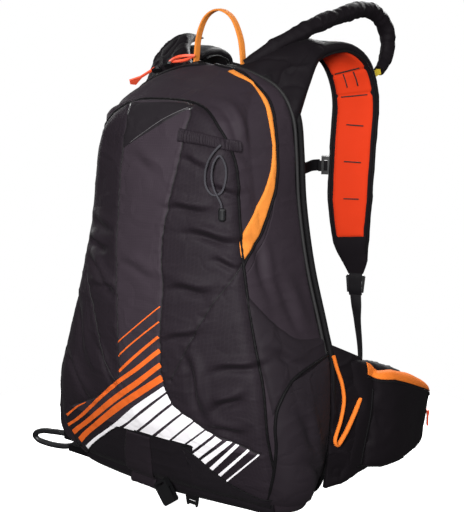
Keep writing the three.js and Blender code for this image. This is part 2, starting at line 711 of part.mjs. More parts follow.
function addSideTrim() {
  piece("pull_cord", cord(PULL_ROUTE, 6, 26, 6), ORANGE);
}

const BASE_BUCKLE = [1, -132, -260];

function addBaseBuckle() {
  const facing = [[0.8, 0, 0.6], [0, -1, 0], [0.6, 0, -0.8]].map(vec);
  piece("base_buckle", buckleFemale(22, 32, 8), PLASTIC, BASE_BUCKLE, facing);
  piece("base_ladder", ladderLock(20, 14, 3), PLASTIC, [32, -106, -288.6]);
}

// A slider with its pull at the far end of each hip pocket's zip.
function addHipSliders() {
  bothSides((side, flip, flipAll, sign) => {
    const turn = [[-0.55, 0.835 * sign, 0], [-0.835 * sign, -0.55, 0], [0, 0, 1]];
    const tabOutline = [[-2, -3], [2, -3], [2, 3], [1.2, 4], [1.2, 20], [-1.2, 20], [-1.2, 4], [-2, 3]];
    const tab = prism("x", tabOutline, -4, 4);
    piece(`hip_zip_slider_${side}`, tab.rotateX(Math.PI), RED_PULL, flip([187, 228, -236]), turn.map(vec));
  });
}

addShellAndLid();
addFrontPocket();
addMainZip();
addSidePanels();
addBase();
addBack();
addPads();
addInside();
addShoulderStraps();
addSternumStrap();
addHaulLoop();
addSkiSleeve();
addHipBelt();
addZipPulls();
addAxeHolder();
addSkiLoop();
addSideTrim();
addBaseBuckle();
addHipSliders();

export default backpack;
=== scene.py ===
"""Looks of the ski touring backpack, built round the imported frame.

Shapes are worked out in millimetres (+Z up, +Y to the wearer) and put into Blender in metres.
"""
import math

import bmesh
import bpy
import numpy as np
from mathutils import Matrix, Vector
from mathutils.bvhtree import BVHTree
from mathutils.kdtree import KDTree


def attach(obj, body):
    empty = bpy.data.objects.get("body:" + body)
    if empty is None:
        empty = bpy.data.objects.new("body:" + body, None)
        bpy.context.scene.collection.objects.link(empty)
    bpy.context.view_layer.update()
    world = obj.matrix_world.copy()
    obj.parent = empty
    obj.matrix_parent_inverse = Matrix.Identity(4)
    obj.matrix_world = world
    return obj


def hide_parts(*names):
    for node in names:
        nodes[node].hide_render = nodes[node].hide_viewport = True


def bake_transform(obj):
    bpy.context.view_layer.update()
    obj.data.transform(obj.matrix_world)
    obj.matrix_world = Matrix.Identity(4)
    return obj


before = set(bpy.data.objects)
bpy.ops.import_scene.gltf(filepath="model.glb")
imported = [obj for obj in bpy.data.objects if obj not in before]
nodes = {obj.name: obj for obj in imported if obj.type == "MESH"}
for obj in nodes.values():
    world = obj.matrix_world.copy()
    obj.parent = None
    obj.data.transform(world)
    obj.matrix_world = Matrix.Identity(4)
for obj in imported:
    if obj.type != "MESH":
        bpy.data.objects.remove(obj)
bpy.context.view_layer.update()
scene = bpy.context.scene
MM = 0.001
SIDES = (("right", 1), ("left", -1))  # names, and the sign of x there


# ---------- camera and studio ----------
CAMERA_AZIMUTH, CAMERA_ELEVATION = math.radians(37), math.radians(13.5)
CAMERA_PLACE = (0.8794, -1.1472, 0.3518)  # metres
LENS_MM, SENSOR_MM = 80.7, 36
CENTRE = (0, 0, 0)
# Each lamp: name, place, target, size in metres and power in watts.
LAMPS = [
    ("key", (0.9, -1.55, 0.55), (0, 0, -0.06), (0.4, 0.4), 48),
    ("top", (0.1, -0.9, 1.3), CENTRE, (0.3, 0.3), 7),
    ("side", (1.8, 0.3, 0.8), CENTRE, (0.35, 0.8), 9),
    ("left", (-2.0, 0.6, 0.5), CENTRE, (0.3, 1.2), 12),
    ("rear", (-0.5, 2.0, 0.9), CENTRE, (0.9, 0.9), 75),
]
SKY_ON_CLOTH = 0.05  # the white world's strength as light, while the camera sees it at full strength
FLOOR_RADIUS, FLOOR_HEIGHT, FLOOR_GLOW = 0.5, -0.315, 0.9


def aimed(obj, direction):
    obj.rotation_mode = "QUATERNION"
    obj.rotation_quaternion = direction.to_track_quat("-Z", "Y")


def add_camera():
    data = bpy.data.cameras.new("camera")
    cam = bpy.data.objects.new("camera", data)
    scene.collection.objects.link(cam)
    level = math.cos(CAMERA_ELEVATION)
    back = Vector(
        (
            math.sin(CAMERA_AZIMUTH) * level,
            -math.cos(CAMERA_AZIMUTH) * level,
            math.sin(CAMERA_ELEVATION),
        )
    )
    cam.location = CAMERA_PLACE
    aimed(cam, -back)
    data.lens, data.sensor_width = LENS_MM, SENSOR_MM
    data.clip_start, data.clip_end = 0.05, 50
    scene.camera = cam


def area_light(name, place, target, size, power):
    data = bpy.data.lights.new(name, "AREA")
    data.shape, data.size, data.size_y = "RECTANGLE", size[0], size[1]
    data.energy = power
    lamp = bpy.data.objects.new(name, data)
    lamp.location = place
    aimed(lamp, Vector(target) - Vector(place))
    scene.collection.objects.link(lamp)


def add_world():
    world = bpy.data.worlds.new("studio")
    scene.world = world
    world.use_nodes = True
    tree = world.node_tree
    background = tree.nodes["Background"]
    background.inputs["Color"].default_value = (1, 1, 1, 1)
    seen = tree.nodes.new("ShaderNodeLightPath").outputs["Is Camera Ray"]
    strength = tree.nodes.new("ShaderNodeMapRange")
    strength.inputs["To Min"].default_value = SKY_ON_CLOTH
    tree.links.new(seen, strength.inputs["Value"])
    tree.links.new(strength.outputs["Result"], background.inputs["Strength"])


def add_floor():
    place = (0, 0, FLOOR_HEIGHT)
    bpy.ops.mesh.primitive_circle_add(vertices=96, radius=FLOOR_RADIUS, fill_type="NGON", location=place)
    floor = bpy.context.object
    floor.name = "floor"
    floor.data.materials.append(floor_material())
    floor.visible_diffuse = False
    floor.visible_glossy = False


def add_studio():
    add_world()
    for lamp in LAMPS:
        area_light(*lamp)
    scene.view_settings.view_transform = "Standard"
    add_floor()


# ---------- materials ----------
def floor_material():
    """A matt white that glows, so the floor stays as pale as the sky."""
    mat = bpy.data.materials.new("floor")
    mat.use_nodes = True
    shader = mat.node_tree.nodes["Principled BSDF"]
    shader.inputs["Base Color"].default_value = (1, 1, 1, 1)
    shader.inputs["Roughness"].default_value = 0.9
    shader.inputs["Emission Color"].default_value = (1, 1, 1, 1)
    shader.inputs["Emission Strength"].default_value = FLOOR_GLOW
    return mat


class Nodes:
    """Short hand for building one material's node tree."""

    def __init__(self, name):
        self.mat = bpy.data.materials.new(name)
        self.mat.use_nodes = True
        self.tree = self.mat.node_tree
        self.shader = self.tree.nodes["Principled BSDF"]

    def add(self, kind, **values):
        node = self.tree.nodes.new("ShaderNode" + kind)
        for key, value in values.items():
            if hasattr(node, key):
                setattr(node, key, value)
            else:
                node.inputs[key.replace("_", " ")].default_value = value
        return node

    def link(self, a, b):
        self.tree.links.new(a, b)

    def math(self, operation, a, b=None):
        node = self.add("Math", operation=operation)
        for socket, value in zip(node.inputs, (a, b)):
            if value is None:
                continue
            if isinstance(value, (int, float)):
                socket.default_value = value
            else:
                self.link(value, socket)
        return node.outputs[0]

    def noise(self, coords, scale, detail=3.0):
        node = self.add("TexNoise", Scale=scale, Detail=detail)
        self.link(coords, node.inputs["Vector"])
        return node.outputs["Fac"]

    def mix_color(self, factor, a, b):
        node = self.add("Mix", data_type="RGBA")
        self.link(factor, node.inputs["Factor"])
        for socket, value in ((node.inputs[6], a), (node.inputs[7], b)):
            if isinstance(value, tuple):
                socket.default_value = (*value, 1)
            else:
                self.link(value, socket)
        return node.outputs[2]


def threads(n, coords, pitch_mm, axis):
    """Parallel threads of one pitch across one UV axis, as a 0 to 1 height."""
    wave = n.add("TexWave", wave_type="BANDS", bands_direction=axis)
    wave.inputs["Scale"].default_value = 2 * math.pi / 20 / (pitch_mm * MM)
    wave.inputs["Distortion"].default_value = 0.0
    n.link(coords, wave.inputs["Vector"])
    return wave.outputs["Fac"]


def shades(color, down, up):
    """A darker and a lighter version of a colour."""
    return tuple(c * down for c in color), tuple(min(1.0, c * up) for c in color)


def add_bump(n, height, strength, distance):
    node = n.add("Bump", Strength=strength, Distance=distance)
    n.link(height, node.inputs["Height"])
    n.link(node.outputs["Normal"], n.shader.inputs["Normal"])


# The common cloth, and what sets the others apart.
WEAVE = {
    "roughness": 0.6,
    "pitch": 0.9,  # mm from thread to thread
    "grid": 0,  # mm from one ripstop line to the next, 0 for none
    "bump": 0.25,
    "sheen": 0.01,
    "spread": 0.2,  # how uneven the dye is
    "gloss": 0.09,
    "ribs": False,
}


def cloth(name, color, **changes):
    """Woven cloth: threads both ways, a ripstop grid if grid is set, and uneven dye and wear."""
    look = {**WEAVE, **changes}
    roughness, pitch, grid, spread = (look[key] for key in ("roughness", "pitch", "grid", "spread"))
    n = Nodes(name)
    coords = n.add("TexCoord").outputs["UV"]
    place = n.add("TexCoord").outputs["Object"]
    across = threads(n, coords, pitch, "X")
    along = threads(n, coords, pitch, "Y")
    weave = across if look["ribs"] else n.math("MULTIPLY", across, along)
    if grid:
        lines_u = n.math("POWER", threads(n, coords, grid, "X"), 14.0)
        lines_v = n.math("POWER", threads(n, coords, grid, "Y"), 14.0)
        grid_lines = n.math("MAXIMUM", lines_u, lines_v)
        weave = n.math("ADD", weave, n.math("MULTIPLY", grid_lines, 0.8))
    patches = n.noise(place, 22.0, 4.0)
    base = n.mix_color(patches, *shades(color, 1 - spread, 1 + spread))
    thread_tops = tuple(min(1.0, c * 1.5 + 0.004) for c in color)
    worn = n.mix_color(n.math("MULTIPLY", weave, 0.35), base, thread_tops)
    n.link(worn, n.shader.inputs["Base Color"])
    fine = n.noise(place, 160.0, 2.0)
    rough = n.math("ADD", roughness - 0.08, n.math("MULTIPLY", fine, 0.16))
    n.link(rough, n.shader.inputs["Roughness"])
    n.shader.inputs["Sheen Weight"].default_value = look["sheen"]
    n.shader.inputs["Sheen Roughness"].default_value = 0.4
    n.shader.inputs["Specular IOR Level"].default_value = look["gloss"]
    height = n.math("ADD", weave, n.math("MULTIPLY", fine, 0.5))
    add_bump(n, height, look["bump"], 0.0004)
    return n.mat


def moulded(name, color, roughness):
    """Moulded plastic or rubber with a fine grain and slight wear."""
    n = Nodes(name)
    place = n.add("TexCoord").outputs["Object"]
    fine = n.noise(place, 900.0, 2.0)
    wear = n.noise(place, 60.0, 3.0)
    n.link(n.mix_color(wear, *shades(color, 0.85, 1.2)), n.shader.inputs["Base Color"])
    n.link(n.math("ADD", roughness - 0.06, n.math("MULTIPLY", wear, 0.14)), n.shader.inputs["Roughness"])
    add_bump(n, fine, 0.12, 0.0002)
    return n.mat


def mesh_cloth(name, color):
    """Open spacer mesh: small round holes in rows."""
    n = Nodes(name)
    coords = n.add("TexCoord").outputs["UV"]
    cells = n.add("TexVoronoi", Scale=320.0, Randomness=0.15)
    n.link(coords, cells.inputs["Vector"])
    hole = n.math("LESS_THAN", cells.outputs["Distance"], 0.28)
    n.link(n.mix_color(hole, color, tuple(c * 0.25 for c in color)), n.shader.inputs["Base Color"])
    n.shader.inputs["Roughness"].default_value = 0.85
    n.shader.inputs["Sheen Weight"].default_value = 0.2
    add_bump(n, cells.outputs["Distance"], 0.5, 0.0006)
    return n.mat


SEWN_TAPE = {"roughness": 0.75, "pitch": 1.2, "bump": 0.4, "spread": 0.05}
MATS = {
    "shell": cloth("shell cloth", (0.0235, 0.0172, 0.0226)),
    "front": cloth("ripstop front", (0.0155, 0.0115, 0.0152), roughness=0.58, grid=5),
    "centre": cloth("centre cloth", (0.031, 0.0232, 0.030), roughness=0.58, grid=3.2),
    "dark": cloth("dark cloth", (0.0068, 0.0053, 0.0067), roughness=0.62, gloss=0.05),
    "gloss": cloth("coated cloth", (0.014, 0.0115, 0.014), roughness=0.36, bump=0.05, sheen=0.0, gloss=0.4),
    "side": cloth("side cloth", (0.0155, 0.0118, 0.0152), roughness=0.62),
    "base": cloth("base cloth", (0.010, 0.008, 0.0102), pitch=1.2, bump=0.4),
    "webbing": cloth("webbing", (0.0055, 0.0048, 0.0058), pitch=1.6, bump=0.5, ribs=True),
    "binding": cloth("binding", (0.005, 0.0046, 0.0052), roughness=0.55, pitch=1.1, bump=0.4),
    "liner": cloth("liner", (0.55, 0.033, 0.007), roughness=0.8, pitch=0.8, bump=0.2, spread=0.05),
    "orange": cloth("orange tape", (0.62, 0.2, 0.033), **SEWN_TAPE),
    "deep orange": cloth("deep orange cloth", (0.72, 0.17, 0.022), **SEWN_TAPE),
    "print orange": cloth("orange print", (0.76, 0.13, 0.02), roughness=0.7, bump=0.12, spread=0.08),
    "print white": cloth("white print", (0.93, 0.9, 0.93), roughness=0.7, bump=0.12, spread=0.04),
    # Near-black thread: real stitching, and on the front's seam lines also painted shade.
    "thread": moulded("thread", (0.004, 0.0036, 0.004), 0.7),
    "pale thread": moulded("pale thread", (0.10, 0.095, 0.10), 0.7),
    "lining": cloth("lining", (0.05, 0.05, 0.055), roughness=0.7, pitch=0.8, bump=0.15),
    "foam": mesh_cloth("spacer mesh", (0.008, 0.0076, 0.0085)),
    "plastic": moulded("black plastic", (0.006, 0.006, 0.0066), 0.33),
    "rubber": moulded("black rubber", (0.008, 0.008, 0.009), 0.45),
    "red": moulded("red pull", (0.88, 0.095, 0.04), 0.45),
    "yellow": moulded("yellow plastic", (0.86, 0.62, 0.05), 0.4),
    "cord": cloth("grey cord", (0.045, 0.043, 0.05), pitch=1.0, bump=0.6),
}


# ---------- curves ----------
def unit(v):
    """Vectors along the last axis, scaled to length 1."""
    return v / np.maximum(np.linalg.norm(v, axis=-1, keepdims=True), 1e-9)


def between(a, b, share):
    """The place a share of the way from a to b."""
    return a * (1 - share) + b * share


def spline(points, count):
    """A centripetal Catmull-Rom curve through the points."""
    p = np.asarray(points, float)
    last = len(p) - 1
    ext = np.vstack([2 * p[0] - p[1], p, 2 * p[-1] - p[-2]])
    t = np.linspace(0, last, count)
    k = np.minimum(t.astype(int), last - 1)
    f = (t - k)[:, None]
    p0, p1, p2, p3 = ext[k], ext[k + 1], ext[k + 2], ext[k + 3]

    def gap(a, b):
        return np.maximum(np.linalg.norm(b - a, axis=1) ** 0.5, 1e-4)[:, None]

    d0, d1, d2 = gap(p0, p1), gap(p1, p2), gap(p2, p3)
    m1 = ((p1 - p0) / d0 - (p2 - p0) / (d0 + d1) + (p2 - p1) / d1) * d1
    m2 = ((p2 - p1) / d1 - (p3 - p1) / (d1 + d2) + (p3 - p2) / d2) * d1
    return (
        (2 * f**3 - 3 * f**2 + 1) * p1
        + (f**3 - 2 * f**2 + f) * m1
        + (3 * f**2 - 2 * f**3) * p2
        + (f**3 - f**2) * m2
    )


def lengths(path):
    """The length run at each point of a path."""
    steps = np.linalg.norm(np.diff(path, axis=0), axis=1)
    return np.concatenate([[0], np.cumsum(steps)])


def even(path, count):
    """The same path with points at equal distances."""
    run = lengths(path)
    at = np.linspace(0, run[-1], count)
    return np.stack([np.interp(at, run, path[:, i]) for i in range(path.shape[1])], axis=1)


# ---------- the bag's smooth skin ----------
# Height, half width at the back wall, half width and depth of the front corner, depth at the
# middle of the front, and y of the back wall, from the top down.
SECTIONS = [
    (252, 5, 4, -20, -20.5, -17),
    (251, 22, 18, -24, -26, -14),
    (247, 46, 40, -31, -34, -14),
    (240, 71, 61, -44, -48, -14),
    (231, 92, 77, -63, -69, -14),
    (219, 106, 87, -86, -93, -14),
    (205, 115, 95, -104, -111, -14),
    (188, 121, 102, -115, -124, -14),
    (150, 125, 109, -118, -134, -14),
    (93, 129, 117, -118, -142, -14),
    (17, 142, 131, -121, -151, -14),
    (-60, 163, 155, -122, -156, -14),
    (-103, 174, 167, -121, -156, -14),
    (-160, 176, 179, -117, -147, -14),
    (-215, 172, 187, -109, -129, -14),
    (-252, 163, 184, -102, -116, -14),
    (-274, 152, 171, -92, -105, -14),
    (-283, 136, 150, -78, -90, -15),
    (-285.5, 100, 104, -62, -70, -24),
    (-286, 30, 30, -46, -48, -42),
]
RING_POINTS = 161
ROW_STEP = 2.0


def quadratic(a, b, c, count=20):
    """A curve from a to c that leans towards b."""
    t = np.linspace(0, 1, count)[:, None]
    a, b, c = (np.array(p, float) for p in (a, b, c))
    return (1 - t) ** 2 * a + 2 * t * (1 - t) * b + t * t * c


def half_ring(wb, wc, yc, yf, yb):
    """Half of a section, from the middle of the front round to the middle of the back."""
    back_round = max(0.5, min(12, wb * 0.3, (yb - yc) * 0.4))
    front_round = max(0.5, min(30, wc * 0.4, (yb - yc) * 0.5))
    bulge = max(wb, wc) * 0.03
    corner = (wc - front_round, yc + (yf - yc) * 0.3)
    parts = [
        quadratic((0, yf), (wc * 0.4, yf), corner),
        quadratic(corner, (wc - 2, yc), (wc, yc + front_round)),
        quadratic((wc, yc + front_round), ((wb + wc) / 2 + bulge, (yb + yc) / 2), (wb, yb - back_round)),
        quadratic((wb, yb - back_round), (wb, yb), (wb - back_round, yb)),
        quadratic((wb - back_round, yb), ((wb - back_round) / 2, yb), (0, yb)),
    ]
    return even(np.vstack(parts), RING_POINTS)


class Skin:
    """The bag's outer surface in coordinates g and s. g runs round a section from 0 at the middle
    of the front to 1 (right) or -1 (left) at the middle of the back. s runs down the front."""

    def __init__(self):
        table = np.array(SECTIONS, float)
        fine = even(spline(table, 900)[:, [0, 4, 1, 2, 3, 5]], 900)
        run = lengths(fine[:, :2])
        self.s = np.arange(0, run[-1], ROW_STEP)
        rows = np.stack([np.interp(self.s, run, fine[:, i]) for i in range(6)], axis=1)
        self.z = rows[:, 0]
        rings = [half_ring(wb, wc, yc, yf, yb) for _, yf, wb, wc, yc, yb in rows]
        self.ring = np.array(rings)
        self.g = np.linspace(0, 1, RING_POINTS)

    def s_of(self, z):
        return np.interp(-np.asarray(z, float), -self.z, self.s)

    def front(self, x, z):
        """(g, s) of the place on the front at x and z."""
        s = float(self.s_of(z))
        ring = self.ring[int(round(s / ROW_STEP))]
        end = int(np.argmax(ring[:, 0])) + 1
        return (math.copysign(np.interp(abs(x), ring[:end, 0], self.g[:end]), x), s)

    def side(self, y, z, sign):
        """(g, s) of the place on the side at y and z."""
        s = float(self.s_of(z))
        ring = self.ring[int(round(s / ROW_STEP))]
        return (sign * float(np.interp(y, ring[:, 1], self.g)), s)

    def at(self, gs):
        g, s = gs[..., 0], gs[..., 1]
        row = np.clip(s / ROW_STEP, 0, len(self.s) - 1.001)
        col = np.clip(abs(g) * (RING_POINTS - 1), 0, RING_POINTS - 1.001)
        i, j = row.astype(int), col.astype(int)
        fi, fj = (row - i)[..., None], (col - j)[..., None]
        ring = self.ring
        top = between(ring[i, j], ring[i, j + 1], fj)
        low = between(ring[i + 1, j], ring[i + 1, j + 1], fj)
        xy = between(top, low, fi)
        z = between(self.z[i], self.z[i + 1], fi[..., 0])
        # The load sags to the left, and the front of the base hangs down on that side.
        slump = 1 + 0.055 * np.exp(-(((z + 175) / 62) ** 2)) + 0.065 * np.exp(-(((z + 250) / 36) ** 2))
        x, y = xy[..., 0] * np.where(g < 0, -slump, 1), xy[..., 1]
        hang = 11 * np.clip((-222 - z) / 62, 0, 1) ** 1.5 * np.clip((-10 - y) / 60, 0, 1)
        return np.stack([x, y, z - hang / (1 + np.exp((x - 40) / 35))], axis=-1)

    def normal(self, gs):
        step_g, step_s = np.array([0.006, 0]), np.array([0, 3.0])
        wide = self.at(gs + step_g) - self.at(gs - step_g)
        down = self.at(gs + step_s) - self.at(gs - step_s)
        return unit(np.cross(down, wide))


skin = Skin()


def on_front(points):
    """(g, s) places of (x, z) points on the front."""
    return [skin.front(x, z) for x, z in points]


def on_side(points, sign):
    """(g, s) places of (y, z) points on the right (1) or left (-1) side."""
    return [skin.side(y, z, sign) for y, z in points]


def trace(places, count):
    """A smooth line on the skin through (g, s) places, as count places at equal distances."""
    fine = spline(places, 400)
    run = lengths(skin.at(fine))
    at = np.linspace(0, run[-1], count)
    return np.stack([np.interp(at, run, fine[:, i]) for i in range(2)], axis=1)


# ---------- folds and creases ----------
def lattice(ix, iy, iz, seed):
    """A fixed mixed-up value from 0 to 1 for each whole-numbered place."""
    h = ix * 374761393 + iy * 668265263 + iz * 1274126177 + seed * 974711
    h = (h ^ (h >> 13)) * 1103515245
    return ((h ^ (h >> 16)) & 0xFFFF) / 65535.0


def value_noise(p, scale, seed=0):
    """Smooth noise from 0 to 1 with features of about scale mm."""
    q = p / scale
    i = np.floor(q).astype(np.int64)
    f = q - i
    f = f * f * (3 - 2 * f)
    total = 0.0
    for dx in (0, 1):
        for dy in (0, 1):
            for dz in (0, 1):
                w = np.ones(p.shape[:-1])
                for axis, d in enumerate((dx, dy, dz)):
                    w = w * (f[..., axis] if d else 1 - f[..., axis])
                total = total + w * lattice(i[..., 0] + dx, i[..., 1] + dy, i[..., 2] + dz, seed)
    return total


def creases(p, scale, seed=0):
    """Sparse sharp ridges and valleys, as soft cloth creases."""
    n = value_noise(p, scale, seed) * 2 - 1
    m = value_noise(p, scale * 0.55, seed + 7) * 2 - 1
    return (1 - abs(n)) ** 6 - 0.6 * (1 - abs(m)) ** 8


# Each fold: its middle, directions along and across it, and length, width and height in mm.
FOLDS = []


def fold(place, right, down, length, width, height):
    """Adds a fold at a (g, s) place, running to the right and down by these shares."""
    n = skin.normal(np.array(place))
    u = unit(np.cross((0, 0, 1.0), n))
    v = np.cross(u, n)
    v *= -np.sign(v[2])
    d = unit(u * right + v * down)
    FOLDS.append((skin.at(np.array(place)), d, np.cross(n, d), length, width, height))


def folds(p):
    """Height of all placed folds at places p: a ridge with a valley beside it."""
    total = np.zeros(p.shape[:-1])
    for centre, along, across, length, width, height in FOLDS:
        q = p - centre
        a = (q @ along) / length
        b = (q @ across) / width
        far = np.linalg.norm(q, axis=-1) / length
        bend = b + 0.5 * np.sin(a * 2.2)
        shape = np.exp(-((bend - 0.9) ** 2)) - 1.1 * np.exp(-((bend + 0.6) ** 2) * 1.6)
        total += 2.1 * height * shape * np.exp(-(a**2)) * np.exp(-(far**4) * 0.2)
    return total


def relief(p):
    """Height of the cloth's creases over the smooth skin, in mm, at places p in mm."""
    soft = (value_noise(p, 52, 3) - 0.5) * 2.2 + (value_noise(p, 24, 5) - 0.5) * 0.8
    stretched = p * np.array([1.0, 1.0, 1.8])
    return soft + 0.7 * creases(stretched, 40, 11) + folds(p)


# ---------- mesh makers ----------
def new_object(name, verts, faces, uv, material):
    mesh = bpy.data.meshes.new(name)
    mesh.from_pydata((np.asarray(verts) * MM).tolist(), [], faces)
    layer = mesh.uv_layers.new(name="uv")
    index = np.zeros(len(mesh.loops), np.int32)
    mesh.loops.foreach_get("vertex_index", index)
    layer.data.foreach_set("uv", (np.asarray(uv)[index] * MM).astype(np.float32).ravel())
    mesh.polygons.foreach_set("use_smooth", [True] * len(mesh.polygons))
    for m in material if isinstance(material, list) else [material]:
        mesh.materials.append(MATS[m])
    mesh.update()
    obj = bpy.data.objects.new(name, mesh)
    scene.collection.objects.link(obj)
    return obj


def grid_uv(points):
    """UVs in mm, as the cloth lies: u along the rows from their middle, v down."""
    across = np.linalg.norm(np.diff(points, axis=1), axis=-1)
    down = np.linalg.norm(np.diff(points, axis=0), axis=-1)
    u = np.concatenate([np.zeros((points.shape[0], 1)), np.cumsum(across, axis=1)], axis=1)
    u -= u[:, [points.shape[1] // 2]]
    v = np.concatenate([np.zeros((1, points.shape[1])), np.cumsum(down, axis=0)], axis=0)
    return np.stack([u, -v], axis=-1)


def grid_object(name, points, material, keep=None, closed=False, uv=None):
    """A mesh from rows of points. closed joins the last column to the first."""
    rows, cols = points.shape[:2]
    if uv is None:
        uv = grid_uv(points)
    faces = []
    for r in range(rows - 1):
        for c in range(cols if closed else cols - 1):
            if keep is None or keep[r, c]:
                d = (c + 1) % cols
                faces.append((r * cols + c, (r + 1) * cols + c, (r + 1) * cols + d, r * cols + d))
    obj = new_object(name, points.reshape(-1, 3), faces, uv.reshape(-1, 2), material)
    if keep is not None:
        drop_loose(obj)
    return obj


def drop_loose(obj):
    bm = bmesh.new()
    bm.from_mesh(obj.data)
    loose = [v for v in bm.verts if not v.link_faces]
    bmesh.ops.delete(bm, geom=loose, context="VERTS")
    bm.to_mesh(obj.data)
    bm.free()


def thicken(obj, mm, lining=False):
    """Gives a sheet its thickness, inwards."""
    mod = obj.modifiers.new("thickness", "SOLIDIFY")
    mod.thickness, mod.offset = mm * MM, -1
    mod.material_offset = 1 if lining else 0
    return obj


def settle(obj, body=None, stands_for=(), bend=None):
    """Puts a piece on its body, or, given a bend, leaves it on no body with its transform baked into the
    mesh, and hides the frame nodes it stands for.
    """
    if bend:
        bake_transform(obj)
    else:
        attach(obj, body)
    if stands_for:
        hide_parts(*stands_for)
    return obj


def edge_distance(points, line):
    """How far each point is from the nearest point of a line, in mm."""
    tree = KDTree(len(line))
    for i, p in enumerate(line):
        tree.insert(p, i)
    tree.balance()
    flat = points.reshape(-1, 3)
    return np.array([tree.find(p)[2] for p in flat]).reshape(points.shape[:-1])


class Panel:
    """A sewn panel on the skin between two lines of (g, s) places, proud of it by height mm."""

    def __init__(self, left, right, rows, height, rounding, low=0.6, seams=()):
        self.left, self.right = trace(left, rows), trace(right, rows)
        self.height, self.low, self.rounding = height, low, rounding
        self.edge = skin.at(outline(self.left, self.right))
        self.seams = seams

    def surface(self, gs, extra=0.0):
        p = skin.at(gs)
        d = edge_distance(p, self.edge)
        h = self.low + (self.height - self.low) * (1 - np.exp(-((d / self.rounding) ** 1.3)))
        h = h + relief(p) + extra
        for line in self.seams:
            h = h + groove(p, line)
        return p + skin.normal(gs) * h[..., None]

    def build(self, name, cols, material):
        return grid_object(name, self.surface(ruled(self.left, self.right, cols)), material)

    def line(self, places, lift, count):
        return self.surface(trace(places, count), lift)


class Bare:
    """The skin itself, as a base for pieces sewn straight onto it."""

    def surface(self, gs, extra=0.0):
        p = skin.at(gs)
        return p + skin.normal(gs) * (relief(p) + extra)[..., None]

    def line(self, places, lift, count):
        return self.surface(trace(places, count), lift)


def ruled(left, right, cols):
    """Rows of places from a left line to a right one."""
    f = np.linspace(0, 1, cols)[None, :, None]
    return between(left[:, None], right[:, None], f)


def outline(left, right):
    """The whole edge of the area between two lines."""
    f = np.linspace(0, 1, 120)[:, None]
    ends = [between(left[i], right[i], f) for i in (0, -1)]
    return np.vstack([left, right, *ends])


def overlay(name, base, left, right, rows, cols, height, material, tuck=1.5, low=0.12):
    """A thinner piece sewn on a base panel, its edges turned down."""
    left, right = trace(left, rows), trace(right, rows)
    gs = ruled(left, right, cols)
    d = edge_distance(skin.at(gs), skin.at(outline(left, right)))
    lift = low + (height - low) * (1 - np.exp(-((d / tuck) ** 1.3)))
    return grid_object(name, base.surface(gs, lift), material)


def groove(p, line, depth=1.6, width=2.0, pucker=0.8):
    """A stitched seam: a narrow valley with small puckers beside it."""
    d = edge_distance(p, line)
    along = value_noise(p, 5.5, 41) - 0.5
    return -depth * np.exp(-((d / width) ** 2)) + pucker * 2 * along * np.exp(-((d / 9.0) ** 2))


def tube(name, path, radius, material, sides=8, flat=1.0):
    """A round or, with flat under 1, flattened cord or piping along a path of points in mm."""
    path = np.asarray(path, float)
    tangent = unit(np.gradient(path, axis=0))
    side = np.cross(tangent[0], (0.3, 0.2, 0.93))
    frames = []
    for t in tangent:
        side = unit(side - t * (side @ t))
        frames.append((side, np.cross(t, side)))
    angles = np.linspace(0, 2 * math.pi, sides, endpoint=False)
    rings = [
        p + radius * (np.outer(np.cos(angles), a) + flat * np.outer(np.sin(angles), b))
        for p, (a, b) in zip(path, frames)
    ]
    points = np.array(rings)
    run = lengths(path)
    uv = np.zeros((*points.shape[:2], 2))
    uv[..., 0] = angles * radius
    uv[..., 1] = run[:, None]
    return capped(name, points, material, uv)


def capped(name, rings, material, uv=None):
    """A closed piece from rings of points, with flat ends."""
    rows, cols = rings.shape[:2]
    obj = grid_object(name, rings, material, closed=True, uv=uv)
    bm = bmesh.new()
    bm.from_mesh(obj.data)
    bm.verts.ensure_lookup_table()
    bm.faces.new([bm.verts[i] for i in range(cols)])
    bm.faces.new([bm.verts[(rows - 1) * cols + i] for i in reversed(range(cols))])
    bmesh.ops.recalc_face_normals(bm, faces=bm.faces)
    bm.to_mesh(obj.data)
    bm.free()
    return obj


def piping(name, path, radius, material, sides, body, flat=1.0):
    """A cord, seam or bound edge that rides on one body."""
    settle(tube(name, path, radius, material, sides, flat), body)


# ---------- the bag's body ----------
FOLD_Z = 15
ZIP_EDGE = [
    (-26, 252), (-34, 236), (-44, 215), (-50, 190), (-54, 150), (-59, 115), (-72, 78), (-94, 46),
    (-122, 15),
]
RIGHT_EDGE = [
    (100, 157), (104, 140), (109, 93), (122, 15), (141, -60), (152, -103), (159, -168), (163, -215),
    (160, -246), (150, -264),
]
LEFT_EDGE = [
    (-100, 157), (-104, 140), (-109, 93), (-122, 15), (-142, -60), (-156, -103), (-169, -160), (-178, -208),
    (-175, -230), (-158, -248), (-139, -262),
]
ARCH = [(0, 214), (28, 213), (50, 209), (68, 201), (83, 189), (93, 175)]
CENTRE_LEFT = [
    (-55, 207), (-42, 188), (-44, 155), (-45, 107), (-44, 59), (-41, 0), (-37, -50), (-35, -81),
    (-36, -112), (-46, -137), (-75, -157), (-109, -176), (-150, -197),
]
CENTRE_RIGHT = [
    (34, 211), (46, 197), (44, 178), (44, 165), (39, 135), (33, 101), (28, 65), (27, 40),
    (30, 8), (30, -74), (32, -112), (41, -139), (54, -149), (69, -157), (93, -171), (118, -176),
    (151, -187),
]
DIAGONAL_LEFT = [(-106, -8), (-92, -37), (-77, -71), (-61, -100), (-43, -129)]
DIAGONAL_RIGHT = [(118, 38), (108, 12), (93, -12), (77, -43), (58, -82), (43, -110)]
SCOOP = [
    (-142, -263), (-130, -256), (-100, -232), (-65, -203), (-50, -196), (-25, -194), (1, -192), (28, -192),
    (45, -196), (56, -203), (66, -209), (80, -220), (103, -234),
]
# Where the front folds as the lid opens: bodies and, in metres, from where to where.
FLAP = ("pack", "lid", (0, -0.168, 0.007), (0, -0.168, 0.023))

